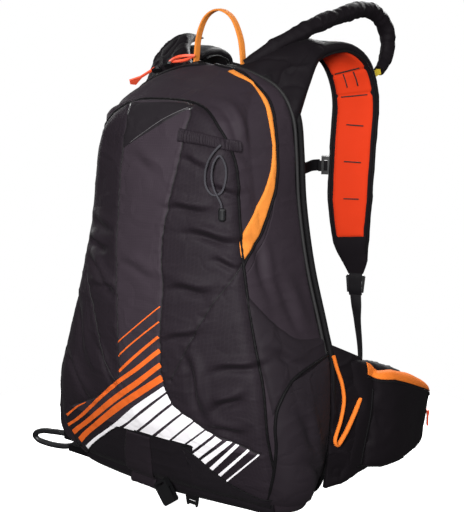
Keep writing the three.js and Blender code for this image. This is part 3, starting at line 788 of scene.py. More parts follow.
# Folds in the cloth: place, direction (right, down), length, width, height.
FRONT_FOLDS = [
    ((56, 97), (1, -0.12), 26, 6, 2.2),
    ((85, 66), (1, 0.05), 30, 6.5, 3.0),
    ((66, 4), (1, -0.15), 26, 7, 2.4),
    ((58, -52), (1, -0.5), 26, 6, 2.0),
    ((76, -110), (0.35, 1), 34, 8, 3.2),
    ((126, -82), (1, -0.3), 30, 6, 2.2),
    ((116, -124), (0.9, -0.7), 22, 7, 2.8),
    ((112, -160), (1, -0.25), 24, 7, 2.0),
    ((104, 36), (1, 0.2), 16, 5, 1.8),
    ((96, 120), (1, 0.15), 18, 5, 1.5),
    ((60, 150), (1, 0.1), 20, 6, 1.4),
    ((-84, 36), (1, -0.1), 20, 7, 2.6),
    ((-72, 0), (1, 0.45), 34, 8, 2.6),
    ((-78, 62), (1, -0.05), 26, 7, 1.3),
    ((-70, -14), (1, -0.3), 24, 6, 1.5),
    ((-60, -112), (0.75, 1), 26, 6, 2.0),
    ((-122, -142), (0.9, 0.8), 34, 9, 2.0),
    ((-110, -80), (0.5, 1), 40, 10, 1.6),
    ((-6, 20), (1, 0.1), 34, 8, 0.9),
    ((-4, 145), (1, 0.2), 30, 9, 0.8),
]
SIDE_FOLDS = [
    ((-100, 195), (0.4, 1), 36, 7, 1.4),
    ((-90, 30), (0.3, 1), 34, 8, 1.5),
    ((-60, -20), (0.5, 1), 40, 10, 1.4),
    ((-70, -170), (0.6, 1), 36, 9, 1.6),
    ((-60, -215), (1, 0.5), 30, 8, 1.4),
    ((-90, -75), (1, 0.4), 26, 7, 1.4),
]


def place_folds():
    for (x, z), (right, down), *size in FRONT_FOLDS:
        fold(skin.front(x, z), right, down, *size)
    for sign in (1, -1):
        for (y, z), (right, down), *size in SIDE_FOLDS:
            fold(skin.side(y, z, sign), sign * right, down, *size)


def seam(points):
    """A stitched line on the front, for a panel's grooves."""
    return skin.at(trace(on_front(points), 160))


def zip_g(s, curve):
    """g of the main zip's edge at row s."""
    z = float(np.interp(s, skin.s, skin.z))
    y = np.interp(-z, -curve[:, 1], curve[:, 0])
    ring = skin.ring[int(round(min(s, skin.s[-1]) / ROW_STEP))]
    return float(np.interp(y, ring[:, 1], skin.g))


def add_shell_and_lid():
    curve = spline(ZIP_EDGE, 200)
    split = np.array([zip_g(s, curve) for s in skin.s])
    fold_row = int(np.argmin(abs(skin.z - FOLD_Z)))
    split[fold_row:] = split[fold_row]
    inner, outer = 90, 70  # columns inside and outside the zip, on each half
    a = np.linspace(0, 1, inner + 1)[None, :] * split[:, None]
    b = split[:, None] + np.linspace(0, 1, outer + 1)[None, 1:] * (1 - split[:, None])
    half = np.concatenate([a, b], axis=1)
    g = np.concatenate([-half[:, :0:-1], half], axis=1)
    gs = np.stack([g, np.repeat(skin.s[:, None], g.shape[1], axis=1)], axis=-1)
    p = skin.at(gs)
    points = p + skin.normal(gs) * relief(p)[..., None]
    middle = inner + outer
    keep = np.zeros((g.shape[0] - 1, g.shape[1] - 1), bool)
    keep[:fold_row, middle - inner : middle + inner] = True
    lid = thicken(grid_object("lid_cloth", points, ["shell", "lining"], keep), 1.5, True)
    settle(lid, "lid", ["front_lid"])
    shell = thicken(grid_object("bag_cloth", points, ["shell", "lining"], ~keep), 1.5, True)
    settle(shell, "pack", ["main_shell"])


def flap(obj, slot, *stands_for):
    """A piece of the front, kept on no body with its transform baked in, standing for the given frame nodes.
    """
    return settle(obj, stands_for=stands_for, bend=FLAP)


COATED_LEFT = [(-53, 204), (-43, 186), (-44, 165), (-43, 154)]
COATED_RIGHT = [(38, 210), (44, 205), (45, 204), (45, 203)]
COATED_EDGE = [(-30, 163), (-14, 174), (8, 188), (40, 203)]


def add_front():
    right = on_front(ARCH + RIGHT_EDGE)
    left = on_front([(-x, z) for x, z in ARCH] + LEFT_EDGE)
    sewn = {"diagonal_left": DIAGONAL_LEFT, "diagonal_right": DIAGONAL_RIGHT}
    sewn.update({"centre_left": CENTRE_LEFT, "centre_right": CENTRE_RIGHT})
    panel = Panel(left, right, 330, 8.0, 6.0, seams=[seam(line) for line in sewn.values()])
    # Thin near-black tubes along these seams: partly the stitching, partly painted shade in the sewn lines.
    for name, line in sewn.items():
        path = panel.line(on_front(line), 0.35, 200)
        flap(tube(f"seam_{name}", path, 0.55, "thread", 6), "webbing")
    pocket = panel.build("front_pocket", 200, "front")
    flap(pocket, "pocket_cloth", "front_pocket_upper", "front_pocket_lower")
    centre = (on_front(CENTRE_LEFT), on_front(CENTRE_RIGHT))
    flap(overlay("centre_panel", panel, *centre, 300, 90, 0.8, "centre"), "pocket_cloth")
    coated = (on_front(COATED_LEFT), on_front(COATED_RIGHT))
    flap(overlay("coated_panel", panel, *coated, 40, 60, 1.6, "gloss"), "pocket_cloth")
    path = panel.line(on_front(COATED_EDGE), 1.7, 50)
    flap(tube("coated_edge", path, 0.35, "pale thread", 6), "webbing")
    for name, edge in (("left", left), ("right", right)):
        path = panel.line(edge, 0.6, 260)
        flap(tube(f"front_piping_{name}", path, 1.7, "binding"), "webbing")
    return panel


# ---------- prints on the front ----------
# Each orange stripe: (x, z) places along it and widths there.
STRIPES = [
    ([(29, -22), (-3, -50), (-35, -78)], [1.4, 1.4, 1.4]),
    ([(29, -40), (-3, -67), (-35, -95)], [1.7, 1.7, 1.8]),
    ([(29, -58), (-3, -86), (-35, -114)], [3.2, 3.4, 3.4]),
    ([(-109, -178), (-130, -191), (-148, -205), (-158, -214)], [0.8, 2.2, 2.6, 3.6]),
    (
        [(30, -75), (0, -100), (-41, -131), (-75, -160), (-128, -205), (-158, -229)],
        [5.2, 5.2, 5, 4.5, 4.2, 3.8],
    ),
    ([(31, -92), (-5, -121), (-43, -150), (-93, -190), (-150, -237)], [5.6, 6.6, 7.2, 6.4, 6.2]),
    ([(32, -108), (-8, -137), (-48, -167), (-100, -209), (-139, -244)], [7.8, 8, 8.2, 7.2, 7]),
]
WEDGE = (
    [(35, -121.5), (-10, -156), (-36, -178), (-55, -193), (-72, -205), (-97, -225), (-128, -250)],
    [7, 8.6, 9.2, 7, 4.4, 4, 4],
)
WHITE_TOP = [
    (34, -118), (36, -125), (41, -139), (54, -149), (69, -157), (83, -165), (93, -171), (105, -175),
    (118, -176), (127, -178), (139, -183), (151, -187),
]
WHITE_LOW = [
    (-56, -198), (-50, -196), (-25, -194), (1, -192), (28, -192), (45, -196), (56, -203), (66, -209),
    (75, -217), (83, -222), (93, -228), (103, -234),
]
# The white bars, as shares of the way along the print's upper and lower edges.
BARS_TOP = [
    (0.07, 0.153), (0.174, 0.268), (0.285, 0.386), (0.40, 0.50), (0.514, 0.58), (0.604, 0.667),
    (0.708, 0.757), (0.79, 0.82), (0.89, 0.912), (0.985, 0.997),
]
BARS_LOW = [
    (0.06, 0.18), (0.21, 0.335), (0.37, 0.49), (0.51, 0.595), (0.61, 0.67), (0.69, 0.74),
    (0.76, 0.80), (0.84, 0.868), (0.915, 0.937), (0.983, 0.995),
]


PRINT_LIFT = 1.25  # mm over the front panel


def printed(panel, name, rows, material):
    """A print laid on the front, from rows of (x, z) points."""
    obj = grid_object(name, panel.surface(np.array([on_front(row) for row in rows]), PRINT_LIFT), material)
    settle(obj, "pack")


def stripe(panel, name, points, widths, material):
    line = spline(points, 90)
    wide = np.interp(np.linspace(0, 1, 90), np.linspace(0, 1, len(widths)), widths)
    along = unit(np.gradient(line, axis=0))
    across = np.stack([-along[:, 1], along[:, 0]], axis=1)
    rows = [line + across * (wide * share)[:, None] for share in np.linspace(-0.5, 0.5, 7)]
    printed(panel, name, rows, material)


def part_of(line, ends, count):
    """Points of an even line from one share of its length to another."""
    share = np.linspace(*ends, count)
    at = np.linspace(0, 1, len(line))
    return np.stack([np.interp(share, at, line[:, k]) for k in (0, 1)], axis=1)


def add_prints(panel):
    for i, (points, widths) in enumerate(STRIPES):
        stripe(panel, f"stripe_{i + 1}", points, widths, "print orange")
    stripe(panel, "bar_0", *WEDGE, "print white")
    upper, lower = (even(spline(line, 300), 300) for line in (WHITE_TOP, WHITE_LOW))
    for i, (top_ends, low_ends) in enumerate(zip(BARS_TOP, BARS_LOW)):
        top, low = part_of(upper, top_ends, 14), part_of(lower, low_ends, 14)
        rows = [between(top, low, f) for f in np.linspace(0, 1, 40)]
        printed(panel, f"bar_{i + 1}", rows, "print white")


STRIP_TOP = [(39, 184), (70, 181), (101, 174)]
STRIP_LOW = [(38, 170), (70, 168), (103, 161)]


def add_gathered_strip(panel):
    """The ribbed strip that holds the axe cord."""
    cols, rows = 120, 16
    gs = np.swapaxes(ruled(trace(on_front(STRIP_TOP), cols), trace(on_front(STRIP_LOW), cols), rows), 0, 1)
    f = np.linspace(0, 1, rows)[:, None]
    along = np.linspace(0, 1, cols)[None, :]
    arch = 4 * f * (1 - f)
    ripple = 0.7 * np.sin(along * 150 + 2.5 * np.sin(along * 21)) * arch
    obj = grid_object("gathered_strip", panel.surface(gs, 1.2 + 2.6 * arch**0.5 + ripple), "front")
    settle(obj, "lid", ["axe_strip"])


# ---------- base ----------
BASE_TOP = SCOOP + [(130, -243), (158, -249)]
BASE_LOW = [(-146, -268), (-130, -280), (-60, -284), (0, -284), (60, -284), (120, -283), (150, -275)]
TONGUE_LEFT = [(-39, -195), (-52, -226), (-58, -254), (-60, -272)]
TONGUE_RIGHT = [(-2, -195), (-9, -226), (-15, -255), (-20, -272)]
BASE_TAPE = [
    (32, -104, -271, 1, 0, 15, 1.6),
    (32, -108, -279, 1, 0, 15, 1.6),
    (32, -107, -287, 1, 0, 13, 1.6),
]


def add_base(panel):
    left, right = trace(on_front(BASE_TOP), 200), trace(on_front(BASE_LOW), 200)
    gs = ruled(left, right, 60)
    p = skin.at(gs)
    d = edge_distance(p, skin.at(left))
    under = np.clip((p[..., 2] + 285) / 34, 0, 1)
    front = panel.surface(gs, 1.6 + 0.8 * (1 - np.exp(-d / 3)))
    bare = p + skin.normal(gs) * 2.0
    points = between(bare, front, under[..., None])
    settle(grid_object("base_cloth", points, "base"), "pack", ["base_panel"])
    piping("base_edge", panel.surface(left, 2.0), 0.9, "binding", 6, "pack")
    sides = (on_front(TONGUE_LEFT), on_front(TONGUE_RIGHT))
    tongue = overlay("base_strap", panel, *sides, 60, 24, 4.4, "side", 1.0, 3.4)
    settle(thicken(tongue, 1.2), "pack", ["base_tongue"])
    settle(tape("base_tape", Ribbon(BASE_TAPE, 1, 30)), "pack")


# ---------- zip, covers and sides ----------
COVER_OUTER = [
    (-27, 251.5), (-30, 246), (-36, 236), (-46, 216), (-52, 194), (-54, 166), (-56, 137), (-62, 114),
    (-73, 92), (-89, 66), (-116, 36),
]
COVER_INNER = [
    (-30, 251.3), (-35, 245), (-42, 234), (-52, 213), (-58, 195), (-59, 166), (-63, 143), (-76, 115),
    (-93, 92), (-111, 70), (-120, 52),
]
ZIP_END = (-122, 16)
BARE = Bare()


def add_zip():
    for side, sign in SIDES:
        first = 1 if sign > 0 else 4  # the left cover starts lower
        outer = on_side(COVER_OUTER[first:], sign)
        inner = on_side(COVER_INNER[first:], sign)
        cover = overlay(f"zip_cover_{side}_cloth", BARE, inner, outer, 160, 14, 2.4, "orange", 1.2, 0.3)
        settle(thicken(cover, 0.8), "lid", [f"zip_cover_{side}"])
        edge = [(y + 2.2, z) for y, z in COVER_OUTER[1:] + [ZIP_END]]
        path = BARE.line(on_side([(-22, 251.6)] + edge, sign), 0.7, 400)
        coil = tube(f"zip_coil_{side}", path, 1.7, "webbing")
        settle(coil, "pack", ["main_zip_tape"] if sign > 0 else ())


SIDE_TOP = [(-122, 10), (-106, -22), (-84, -46), (-59, -62), (-16, -70)]
SIDE_LOW = [(-118, -140), (-97, -116), (-68, -103), (-41, -99), (-16, -98)]
POCKET_FRONT = [(-95, -107), (-112, -127), (-117, -151), (-116, -177), (-114, -209), (-105, -256)]
POCKET_BACK = [(-15, -90), (-15, -130), (-15, -177), (-15, -215), (-15, -256)]
POCKET_RIM = [(-15, -90), (-41, -92), (-68, -96)] + POCKET_FRONT


def add_sides():
    for side, sign in SIDES:
        edges = (on_side(SIDE_TOP, sign), on_side(SIDE_LOW, sign))
        wing = overlay(f"side_wing_{side}_cloth", BARE, *edges, 90, 70, 3.2, "side", 3.0)
        settle(wing, "pack", [f"side_wing_{side}"])
        height = 6.0 if sign > 0 else 11.0
        edges = (on_side(POCKET_FRONT, sign), on_side(POCKET_BACK, sign))
        pocket = Panel(*edges, 120, height, 14.0, 3.4)
        obj = pocket.build(f"side_pocket_{side}_cloth", 70, "side")
        settle(obj, "pack", [f"side_pocket_{side}"])
        rim = pocket.line(on_side(POCKET_RIM, sign), 0.5, 200)
        piping(f"side_piping_{side}", rim, 2.0, "binding", 6, "pack")


# ---------- soft pieces taken from the frame ----------
def box_uv(obj):
    """UVs in metres, seen from the side that each face looks to."""
    mesh = obj.data
    layer = mesh.uv_layers.new(name="uv") if not mesh.uv_layers else mesh.uv_layers[0]
    n = len(mesh.vertices)
    co = np.zeros(n * 3)
    mesh.vertices.foreach_get("co", co)
    co = co.reshape(-1, 3)
    uv = np.zeros((len(mesh.loops), 2), np.float32)
    for poly in mesh.polygons:
        axis = int(np.argmax(np.abs(poly.normal)))
        keep = [a for a in (0, 1, 2) if a != axis]
        for li in poly.loop_indices:
            uv[li] = co[mesh.loops[li].vertex_index][keep]
    layer.data.foreach_set("uv", uv.ravel())


def baked(obj, name):
    """The object with its modifiers applied, in place of the old one."""
    graph = bpy.context.evaluated_depsgraph_get()
    mesh = bpy.data.meshes.new_from_object(obj.evaluated_get(graph), depsgraph=graph)
    bpy.data.objects.remove(obj)
    mesh.name = name
    out = bpy.data.objects.new(name, mesh)
    scene.collection.objects.link(out)
    return out


def soft_copy(node, name, voxel, smooth):
    """A rounder, finer copy of a frame node, to be shaped as cloth over foam."""
    source = nodes[node]
    mesh = source.data.copy()
    mesh.transform(source.matrix_world)
    obj = bpy.data.objects.new(name + "_raw", mesh)
    scene.collection.objects.link(obj)
    remesh = obj.modifiers.new("remesh", "REMESH")
    remesh.mode, remesh.voxel_size = "VOXEL", voxel * MM
    rounder = obj.modifiers.new("rounder", "SMOOTH")
    rounder.factor, rounder.iterations = 0.5, smooth
    return baked(obj, name)


def inflate(obj, pressure, frames=18):
    """Lets the filling push the cloth out."""
    mod = obj.modifiers.new("cloth", "CLOTH")
    settings = mod.settings
    settings.use_pressure = True
    settings.uniform_pressure_force = pressure
    settings.effector_weights.gravity = 0
    settings.quality = 5
    settings.mass = 0.3
    settings.tension_stiffness = settings.compression_stiffness = 25
    settings.bending_stiffness = 0.6
    scene.frame_start, scene.frame_end = 1, frames
    mod.point_cache.frame_start, mod.point_cache.frame_end = 1, frames
    for frame_number in range(1, frames + 1):
        scene.frame_set(frame_number)
    out = baked(obj, obj.name)
    scene.frame_set(1)
    return out


def dress(obj, material, crease=0.6, scale=26, seed=1, seams=(), depth=1.5, width=2.0):
    """Creases and sewn lines on a soft piece, then finish and UVs."""
    mesh = obj.data
    n = len(mesh.vertices)
    co, no = np.zeros(n * 3), np.zeros(n * 3)
    mesh.vertices.foreach_get("co", co)
    mesh.vertices.foreach_get("normal", no)
    p, normal = co.reshape(-1, 3) / MM, no.reshape(-1, 3)
    h = crease * ((value_noise(p, scale, seed) - 0.5) * 1.6 + 0.7 * creases(p, scale * 1.4, seed + 2))
    for line in seams:
        h = h + groove(p, np.asarray(line), depth, width, 0.3)
    p = p + normal * h[:, None]
    mesh.vertices.foreach_set("co", (p * MM).ravel())
    mesh.materials.clear()
    mesh.materials.append(MATS[material])
    mesh.polygons.foreach_set("use_smooth", [True] * len(mesh.polygons))
    mesh.update()
    box_uv(obj)
    return obj


def channel(a, b):
    """A straight sewn line across a pad."""
    return between(np.array(a, float), np.array(b, float), np.linspace(0, 1, 80)[:, None])


def add_pad(node, channels):
    """A back pad of open mesh, pressed in along its channels."""
    pad = dress(soft_copy(node, f"{node}_foam", 4, 6), "foam", 0.4, seams=channels, depth=3.0, width=4.0)
    settle(pad, "pack", [node])


def add_back():
    panel = dress(soft_copy("back_panel", "back_panel_cloth", 5, 3), "dark", 0.4)
    settle(panel, "pack", ["back_panel"])
    upright = [channel((x, 0, -112), (x, 0, 112)) for x in (-20, 20)]
    across = [channel((-60, 0, z), (60, 0, z)) for z in (-50, 0, 50)]
    add_pad("back_pad", upright + across)
    add_pad("lumbar_pad", [channel((x, 6, -230), (x, 6, -120)) for x in (-42, 0, 42)])
    yoke = dress(soft_copy("shoulder_yoke", "shoulder_yoke_cloth", 3, 3), "dark", 0.5)
    settle(yoke, "pack", ["shoulder_yoke"])
    for side, sign in SIDES:
        rim = [(sign * wide, z) for z, wide, *_ in SECTIONS[1:18]]
        path = spline([(x + sign * 1.5, -10.0, z) for x, z in rim], 240)
        piping(f"back_binding_{side}", path, 3.8, "binding", 10, "pack")
        front = spline([(x + sign * 0.5, -19.0, z) for x, z in rim], 240)
        piping(f"side_binding_{side}", front, 2.2, "thread", 8, "pack")
        piping(f"back_seam_{side}", path + np.array([-sign * 8.0, 3.0, 0]), 1.2, "webbing", 6, "pack")


# ---------- straps ----------
# A ribbon's stations: x, y and z of its middle, x and y of the direction across it, and its width and
# thickness, in mm. Where there is an eighth number, it is z of the direction across.
STRAP = [
    (86, 3, 228, 1, 0, 52, 9), (87, 18, 251, 1, 0, 53, 11), (91, 48, 268, 1, 0.02, 54, 12),
    (98, 88, 271, 1, 0.12, 54, 13), (105, 122, 250, 1, 0.3, 54, 13), (110, 138, 208, 1, 0.45, 54, 13),
    (109, 137, 138, 1, 0.53, 54, 12), (108, 135, 70, 1, 0.5, 53, 12), (109, 139, 15, 1, 0.4, 44, 11),
    (112, 145, -14, 1, 0.35, 30, 8), (112.5, 147, -31.5, 1, 0.35, 18, 3),
]


class Ribbon:
    """Places on a strap: count rows along it, u across and v out of its face, in mm."""

    def __init__(self, stations, sign=1, count=240, wider=1.0):
        table = np.array(stations, float)
        table[:, [0, 4]] *= sign
        self.mid = spline(table[:, :3], count)
        at = np.linspace(0, len(table) - 1, count)
        index = np.arange(len(table))
        wide = np.zeros((count, 3))
        for axis, column in enumerate((3, 4, 7)[: table.shape[1] - 5]):
            wide[:, axis] = np.interp(at, index, table[:, column])
        along = unit(np.gradient(self.mid, axis=0))
        self.wide = unit(wide - along * np.sum(wide * along, axis=1, keepdims=True))
        self.out = np.cross(along, self.wide)
        self.width = np.interp(at, index, table[:, 5]) * wider
        self.thick = np.interp(at, index, table[:, 6])
        self.run = lengths(self.mid)
        self.count = count

    def rows(self, a, b):
        """Indices of rows from share a to share b of the length."""
        lo, hi = np.searchsorted(self.run, [a * self.run[-1], b * self.run[-1]])
        return np.arange(lo, min(hi, self.count - 1) + 1)

    def points(self, rows, u, v):
        mid, wide, out = self.mid[rows], self.wide[rows], self.out[rows]
        return mid[:, None] + wide[:, None] * u[..., None] + out[:, None] * v[..., None]

    def line(self, rows, u, v):
        """One line along the rows, at u across and v out."""
        u, v = (np.broadcast_to(value, (len(rows),))[:, None] for value in (u, v))
        return self.points(rows, u, v)[:, 0]


def rounded_ring(width, thick, sides, corner):
    """A section with rounded corners for each row: u across and v out."""
    a = np.linspace(0, 2 * math.pi, sides, endpoint=False)[None, :]
    c, s = np.cos(a), np.sin(a)
    u = np.sign(c) * np.abs(c) ** corner * width[:, None] / 2
    v = np.sign(s) * np.abs(s) ** (corner + 0.25) * thick[:, None] / 2
    return u, v


def swept(name, ribbon, material, corner, sides, crease=0.5):
    """A rounded strap all along its ribbon. A smaller corner makes its section squarer."""
    rings = rounded_ring(ribbon.width, ribbon.thick, sides, corner)
    points = ribbon.points(np.arange(ribbon.count), *rings)
    away = unit(points - points.mean(axis=1, keepdims=True))
    bump = crease * ((value_noise(points, 19, 9) - 0.5) * 1.6 + 0.8 * creases(points, 22, 31))
    return capped(name, points + away * bump[..., None], material)


def tape(name, ribbon, crease=0.1):
    """A thin flat webbing."""
    return swept(name, ribbon, "webbing", 0.3, 16, crease)


LINER_MARGIN, LINER_LIFT, LINER_PUFF = 7.5, 1.1, 1.2
LINER_SEAMS = (52, 84)  # mm from the liner's upper end


def strap_liner(name, ribbon, a, b):
    """The padded lining on a strap's inner face, from share a to share b of its length."""
    rows = ribbon.rows(a, b)
    half_width = ribbon.width[rows] / 2 - LINER_MARGIN
    share = np.linspace(-1, 1, 25)[None, :]
    u = share * half_width[:, None]
    run = ribbon.run[rows]
    end = np.minimum(run - run[0], run[-1] - run)
    edge = np.minimum((1 - abs(share)) * half_width[:, None], end[:, None])
    v = ribbon.thick[rows][:, None] / 2 + LINER_LIFT * (1 - np.exp(-edge / 1.2)) - 0.6 * np.exp(-edge / 1.2)
    v = v + LINER_PUFF * (1 - np.exp(-edge / 7.0))
    for at in LINER_SEAMS:
        d = abs(run - run[0] - at)[:, None]
        v = v - (LINER_PUFF + 0.4) * np.exp(-((d / 2.2) ** 2))
    points = ribbon.points(rows, u, v)
    puckers = (value_noise(points, 17, 12) - 0.5) * 0.8
    return grid_object(name, points + ribbon.out[rows][:, None] * puckers[..., None], "liner")


def add_straps():
    for side, sign in SIDES:
        ribbon = Ribbon(drooped(STRAP, sign), sign, wider=1.12)
        pad = swept(f"strap_{side}_pad", ribbon, "dark", 0.42, 34)
        root = ("pack", f"strap_{side}", (sign * 0.086, -0.004, 0.24), (sign * 0.086, 0.02, 0.24))
        settle(pad, stands_for=[f"shoulder_strap_{side}"], bend=root)
        liner = strap_liner(f"strap_{side}_liner", ribbon, 0.24 if sign > 0 else 0.4, 0.875)
        settle(liner, f"strap_{side}")
        strap_sewing(side, sign, ribbon)
        outer = Ribbon(strap_back(ribbon), 1, 200)
        settle(tape(f"strap_{side}_tape", outer), f"strap_{side}")
        add_shoulder_root(side, sign)


def strap_sewing(side, sign, ribbon):
    """The bound edges of a strap, the slots in its liner and two bartacks."""
    body = f"strap_{side}"
    rows = ribbon.rows(0.12, 0.93)
    for name, edge in (("inner", -1), ("outer", 1)):
        path = ribbon.line(rows, edge * (ribbon.width[rows] / 2 - 2.6), ribbon.thick[rows] / 2 - 0.6)
        piping(f"strap_{side}_{name}_binding", path, 2.6, "binding", 8, body, flat=0.6)
    for i, (at, a, b) in enumerate(SLOTS):
        row = ribbon.rows(at, at + 0.02)[0]
        u = np.linspace(a, b, 24) * sign
        path = ribbon.line(np.full(24, row), u, ribbon.thick[row] / 2 + 2.6)
        piping(f"strap_{side}_slot_{i + 1}", path, 0.9, "thread", 6, body)
    rows = ribbon.rows(0.36, 0.41)
    for i, u in enumerate((-7.0, 7.0)):
        path = ribbon.line(rows, u, ribbon.thick[rows] / 2 + 2.3)
        piping(f"strap_{side}_bartack_{i + 1}", path, 0.9, "thread", 6, body)


# Slots in the liner: share of the strap's length, and from where to where across it.
SLOTS = [(0.35, -17, 17), (0.436, -17, 17), (0.525, -10, 12), (0.638, -10, 12), (0.75, -8, 12)]
ROOT_INNER = [(34, -12, 248), (50, 0, 255), (66, 17, 267), (80, 42, 276), (88, 74, 277)]
ROOT_OUTER = [(119, -13, 176), (124, -6, 204), (124, 9, 230), (121, 36, 259), (122, 72, 271)]


def drooped(stations, sign):
    """The left strap hangs a little lower at the top than the right one."""
    if sign > 0:
        return stations
    lower = []
    for x, y, z, *rest in stations:
        drop = 13 * math.exp(-(((y - 75) / 45) ** 2)) * min(max((z - 100) / 100, 0), 1)
        lower.append((x, y, z - drop, *rest))
    return lower


def strap_back(ribbon):
    """Stations for the webbing down the strap's outer face."""
    rows = ribbon.rows(0.05, 0.9)
    spine = ribbon.line(rows, 0.0, -ribbon.thick[rows] / 2)
    stations = []
    for k in np.linspace(0, len(rows) - 1, 9).astype(int):
        wide = ribbon.wide[rows[k]]
        stations.append((*spine[k], wide[0], wide[1], 20, 1.6))
    return stations


def add_shoulder_root(side, sign):
    """The padded cloth that joins the strap to the top of the back."""
    rows = 70
    mirror = np.array([sign, 1, 1])
    inner, outer = spline(ROOT_INNER, rows) * mirror, spline(ROOT_OUTER, rows) * mirror
    f = np.linspace(0, 1, 44)
    middle = between(inner[:, None], outer[:, None], f[None, :, None])
    along = np.gradient(middle, axis=0)
    across = np.gradient(middle, axis=1)
    up = unit(np.cross(across, along) * sign)
    up *= np.sign(up[..., 2:3])
    arch = (4 * f * (1 - f)) ** 0.5
    lift = 3 + 9 * arch[None, :] + 3.0 * creases(middle, 26, 61) + 3.0 * (value_noise(middle, 17, 62) - 0.5)
    fade = np.clip((1 - np.linspace(0, 1, rows)) / 0.3, 0, 1)[:, None] ** 0.6
    top = middle + up * (0.8 + lift * fade)[..., None]
    low = middle - up * (0.5 + 4 * arch[None, :] * fade)[..., None]
    obj = capped(f"shoulder_root_{side}", np.concatenate([top, low[:, ::-1]], axis=1), "dark")
    bend = ("pack", f"strap_{side}", (sign * 0.086, -0.006, 0.226), (sign * 0.086, 0.045, 0.262))
    settle(obj, bend=bend)


ROUTE_LOWER = [
    (113, 147, -60), (119, 143, -92), (134, 128, -142), (149, 90, -196), (152, 34, -232), (150, 0, -244),
]
THREADED = [(113, 147, -29), (113.4, 144.8, -35), (113.5, 144.4, -45), (113.4, 144.8, -54), (113, 147, -61)]
CHEST_LOOP = [(71, 113.5), (75, 116), (80, 120.5), (85, 125.5), (89, 128.5)]
WEBBING_TURNS = [(1, 0.4), (0.9, -0.35), (0.8, -0.7), (0.8, -0.6), (0.95, 0), (1, 0.4)]
SLEEVE = [
    (40, -7, 252, 1, 0, 12, 12), (52, 2, 259, 1, 0, 17, 17), (69, 18, 275, 1, 0, 19, 19),
    (90, 50, 293, 1, 0, 20, 20), (98, 112, 308, 1, 0, 21, 21),
    (100, 170, 315, 1, 0, 21, 21), (102, 206, 306, 1, 0, 22, 22), (106, 224, 280, 1, 0, 22, 22),
    (109, 218, 252, 1, 0, 19, 19), (112, 193.5, 235.5, 1, 0, 15, 15),
]


def add_webbings():
    """The straps' lower webbings, and the short ones in the ladder locks and chest sliders."""
    for side, sign in SIDES:
        stations = [(*place, *turn, 15, 1.8) for place, turn in zip(ROUTE_LOWER, WEBBING_TURNS)]
        band = tape(f"lower_webbing_{side}_tape", Ribbon(stations, sign, 120), 0.15)
        bend = (f"strap_{side}", "pack", (sign * 0.113, 0.147, -0.06), (sign * 0.15, 0.0, -0.244))
        settle(band, stands_for=[f"lower_webbing_{side}"], bend=bend)
        threaded = Ribbon([(*place, 1, 0.35, 18, 1.6) for place in THREADED], sign, 40)
        settle(tape(f"lock_tape_{side}", threaded), f"adjuster_{side}")
        loop = Ribbon([(x, y, 115, 0, 0, 14, 1.6, 1) for x, y in CHEST_LOOP], sign, 40)
        settle(tape(f"chest_tape_{side}", loop), f"chest_slide_{side}")


def add_sleeve():
    """The gathered cloth tube that arches from the bag over the right strap."""
    ribbon = Ribbon(SLEEVE, 1, 420)
    u, v = rounded_ring(ribbon.width, ribbon.thick, 28, 1.0)
    points = ribbon.points(np.arange(ribbon.count), u, v)
    middle = ribbon.mid[:, None]
    away = points - middle
    run = ribbon.run[:, None]
    wobble = value_noise(points, 13, 51) * 5
    gathers = 0.03 * np.sin(run / 2.4 + wobble) + 0.3 * (value_noise(points, 15, 52) - 0.5)
    gathers = gathers + 0.07 * creases(points, 18, 53)
    points = middle + away * (1.0 + gathers)[..., None]
    obj = capped("ski_sleeve_cloth", points, "dark")
    bend = ("pack", "strap_right", (0.08, 0.01, 0.27), (0.08, 0.13, 0.27))
    settle(obj, stands_for=["ski_sleeve"], bend=bend)


HAUL = [(-37, 251.5), (-32, 285), (-19, 309), (0, 317), (19, 309), (32, 285), (37, 251.5)]


def add_haul_loop():
    stations = [(x, -6, z, 0, 1, 10.5, 2.6) for x, z in HAUL]
    obj = swept("haul_loop_tape", Ribbon(stations, 1, 160), "orange", 0.35, 18, 0.25)
    settle(obj, "haul", ["haul_loop"])


# ---------- hip belt ----------
HIP_POCKET = [
    (190, 28, -187, 0, 0, 128, 7, 1), (192, 45, -190, 0, 0, 128, 7, 1),
    (200, 74, -194, 0, 0, 132, 18, 1), (200, 132, -208, 0, 0, 114, 24, 1),
    (188, 190, -225, 0, 0, 86, 22, 1), (165, 236, -242, 0.1, 0.3, 54, 9, 1),
]
FIN_BACK = [(172, -12, -78), (176, -14, -130), (178, -14, -180), (174, -14, -225), (168, -12, -268)]
FIN_FRONT = [(186, 40, -106), (192, 48, -146), (194, 50, -190), (192, 48, -226), (184, 40, -263)]


def onto(pieces, starts, aims, lift):
    """Drops points onto soft pieces along given directions, and keeps them lift mm off."""
    graph = bpy.context.evaluated_depsgraph_get()
    trees = [BVHTree.FromObject(piece, graph) for piece in pieces]
    reach = []
    for start, aim in zip(starts, aims):
        hits = [tree.ray_cast(Vector(start * MM), Vector(aim))[3] for tree in trees]
        hits = [d / MM for d in hits if d is not None]
        reach.append(min(hits) if hits else np.nan)
    reach = np.array(reach)
    known = ~np.isnan(reach)
    at = np.arange(len(reach))
    reach = np.interp(at, at[known], reach[known])
    smooth = np.convolve(np.pad(reach, 4, mode="edge"), np.ones(9) / 9, mode="valid")
    return starts + aims * (np.minimum(smooth, reach + 0.4) - lift)[:, None]


# The zip cover's edges: shares of the pocket's length, and heights there as shares of half its width.
COVER_AT, COVER_TOP, COVER_LOW = (0.03, 0.3, 0.6, 0.86), (1.14, 1.0, 0.87, 0.8), (0.96, 0.85, 0.72, 0.7)
OUTSIDE = 45  # mm from the pocket, where the rays start


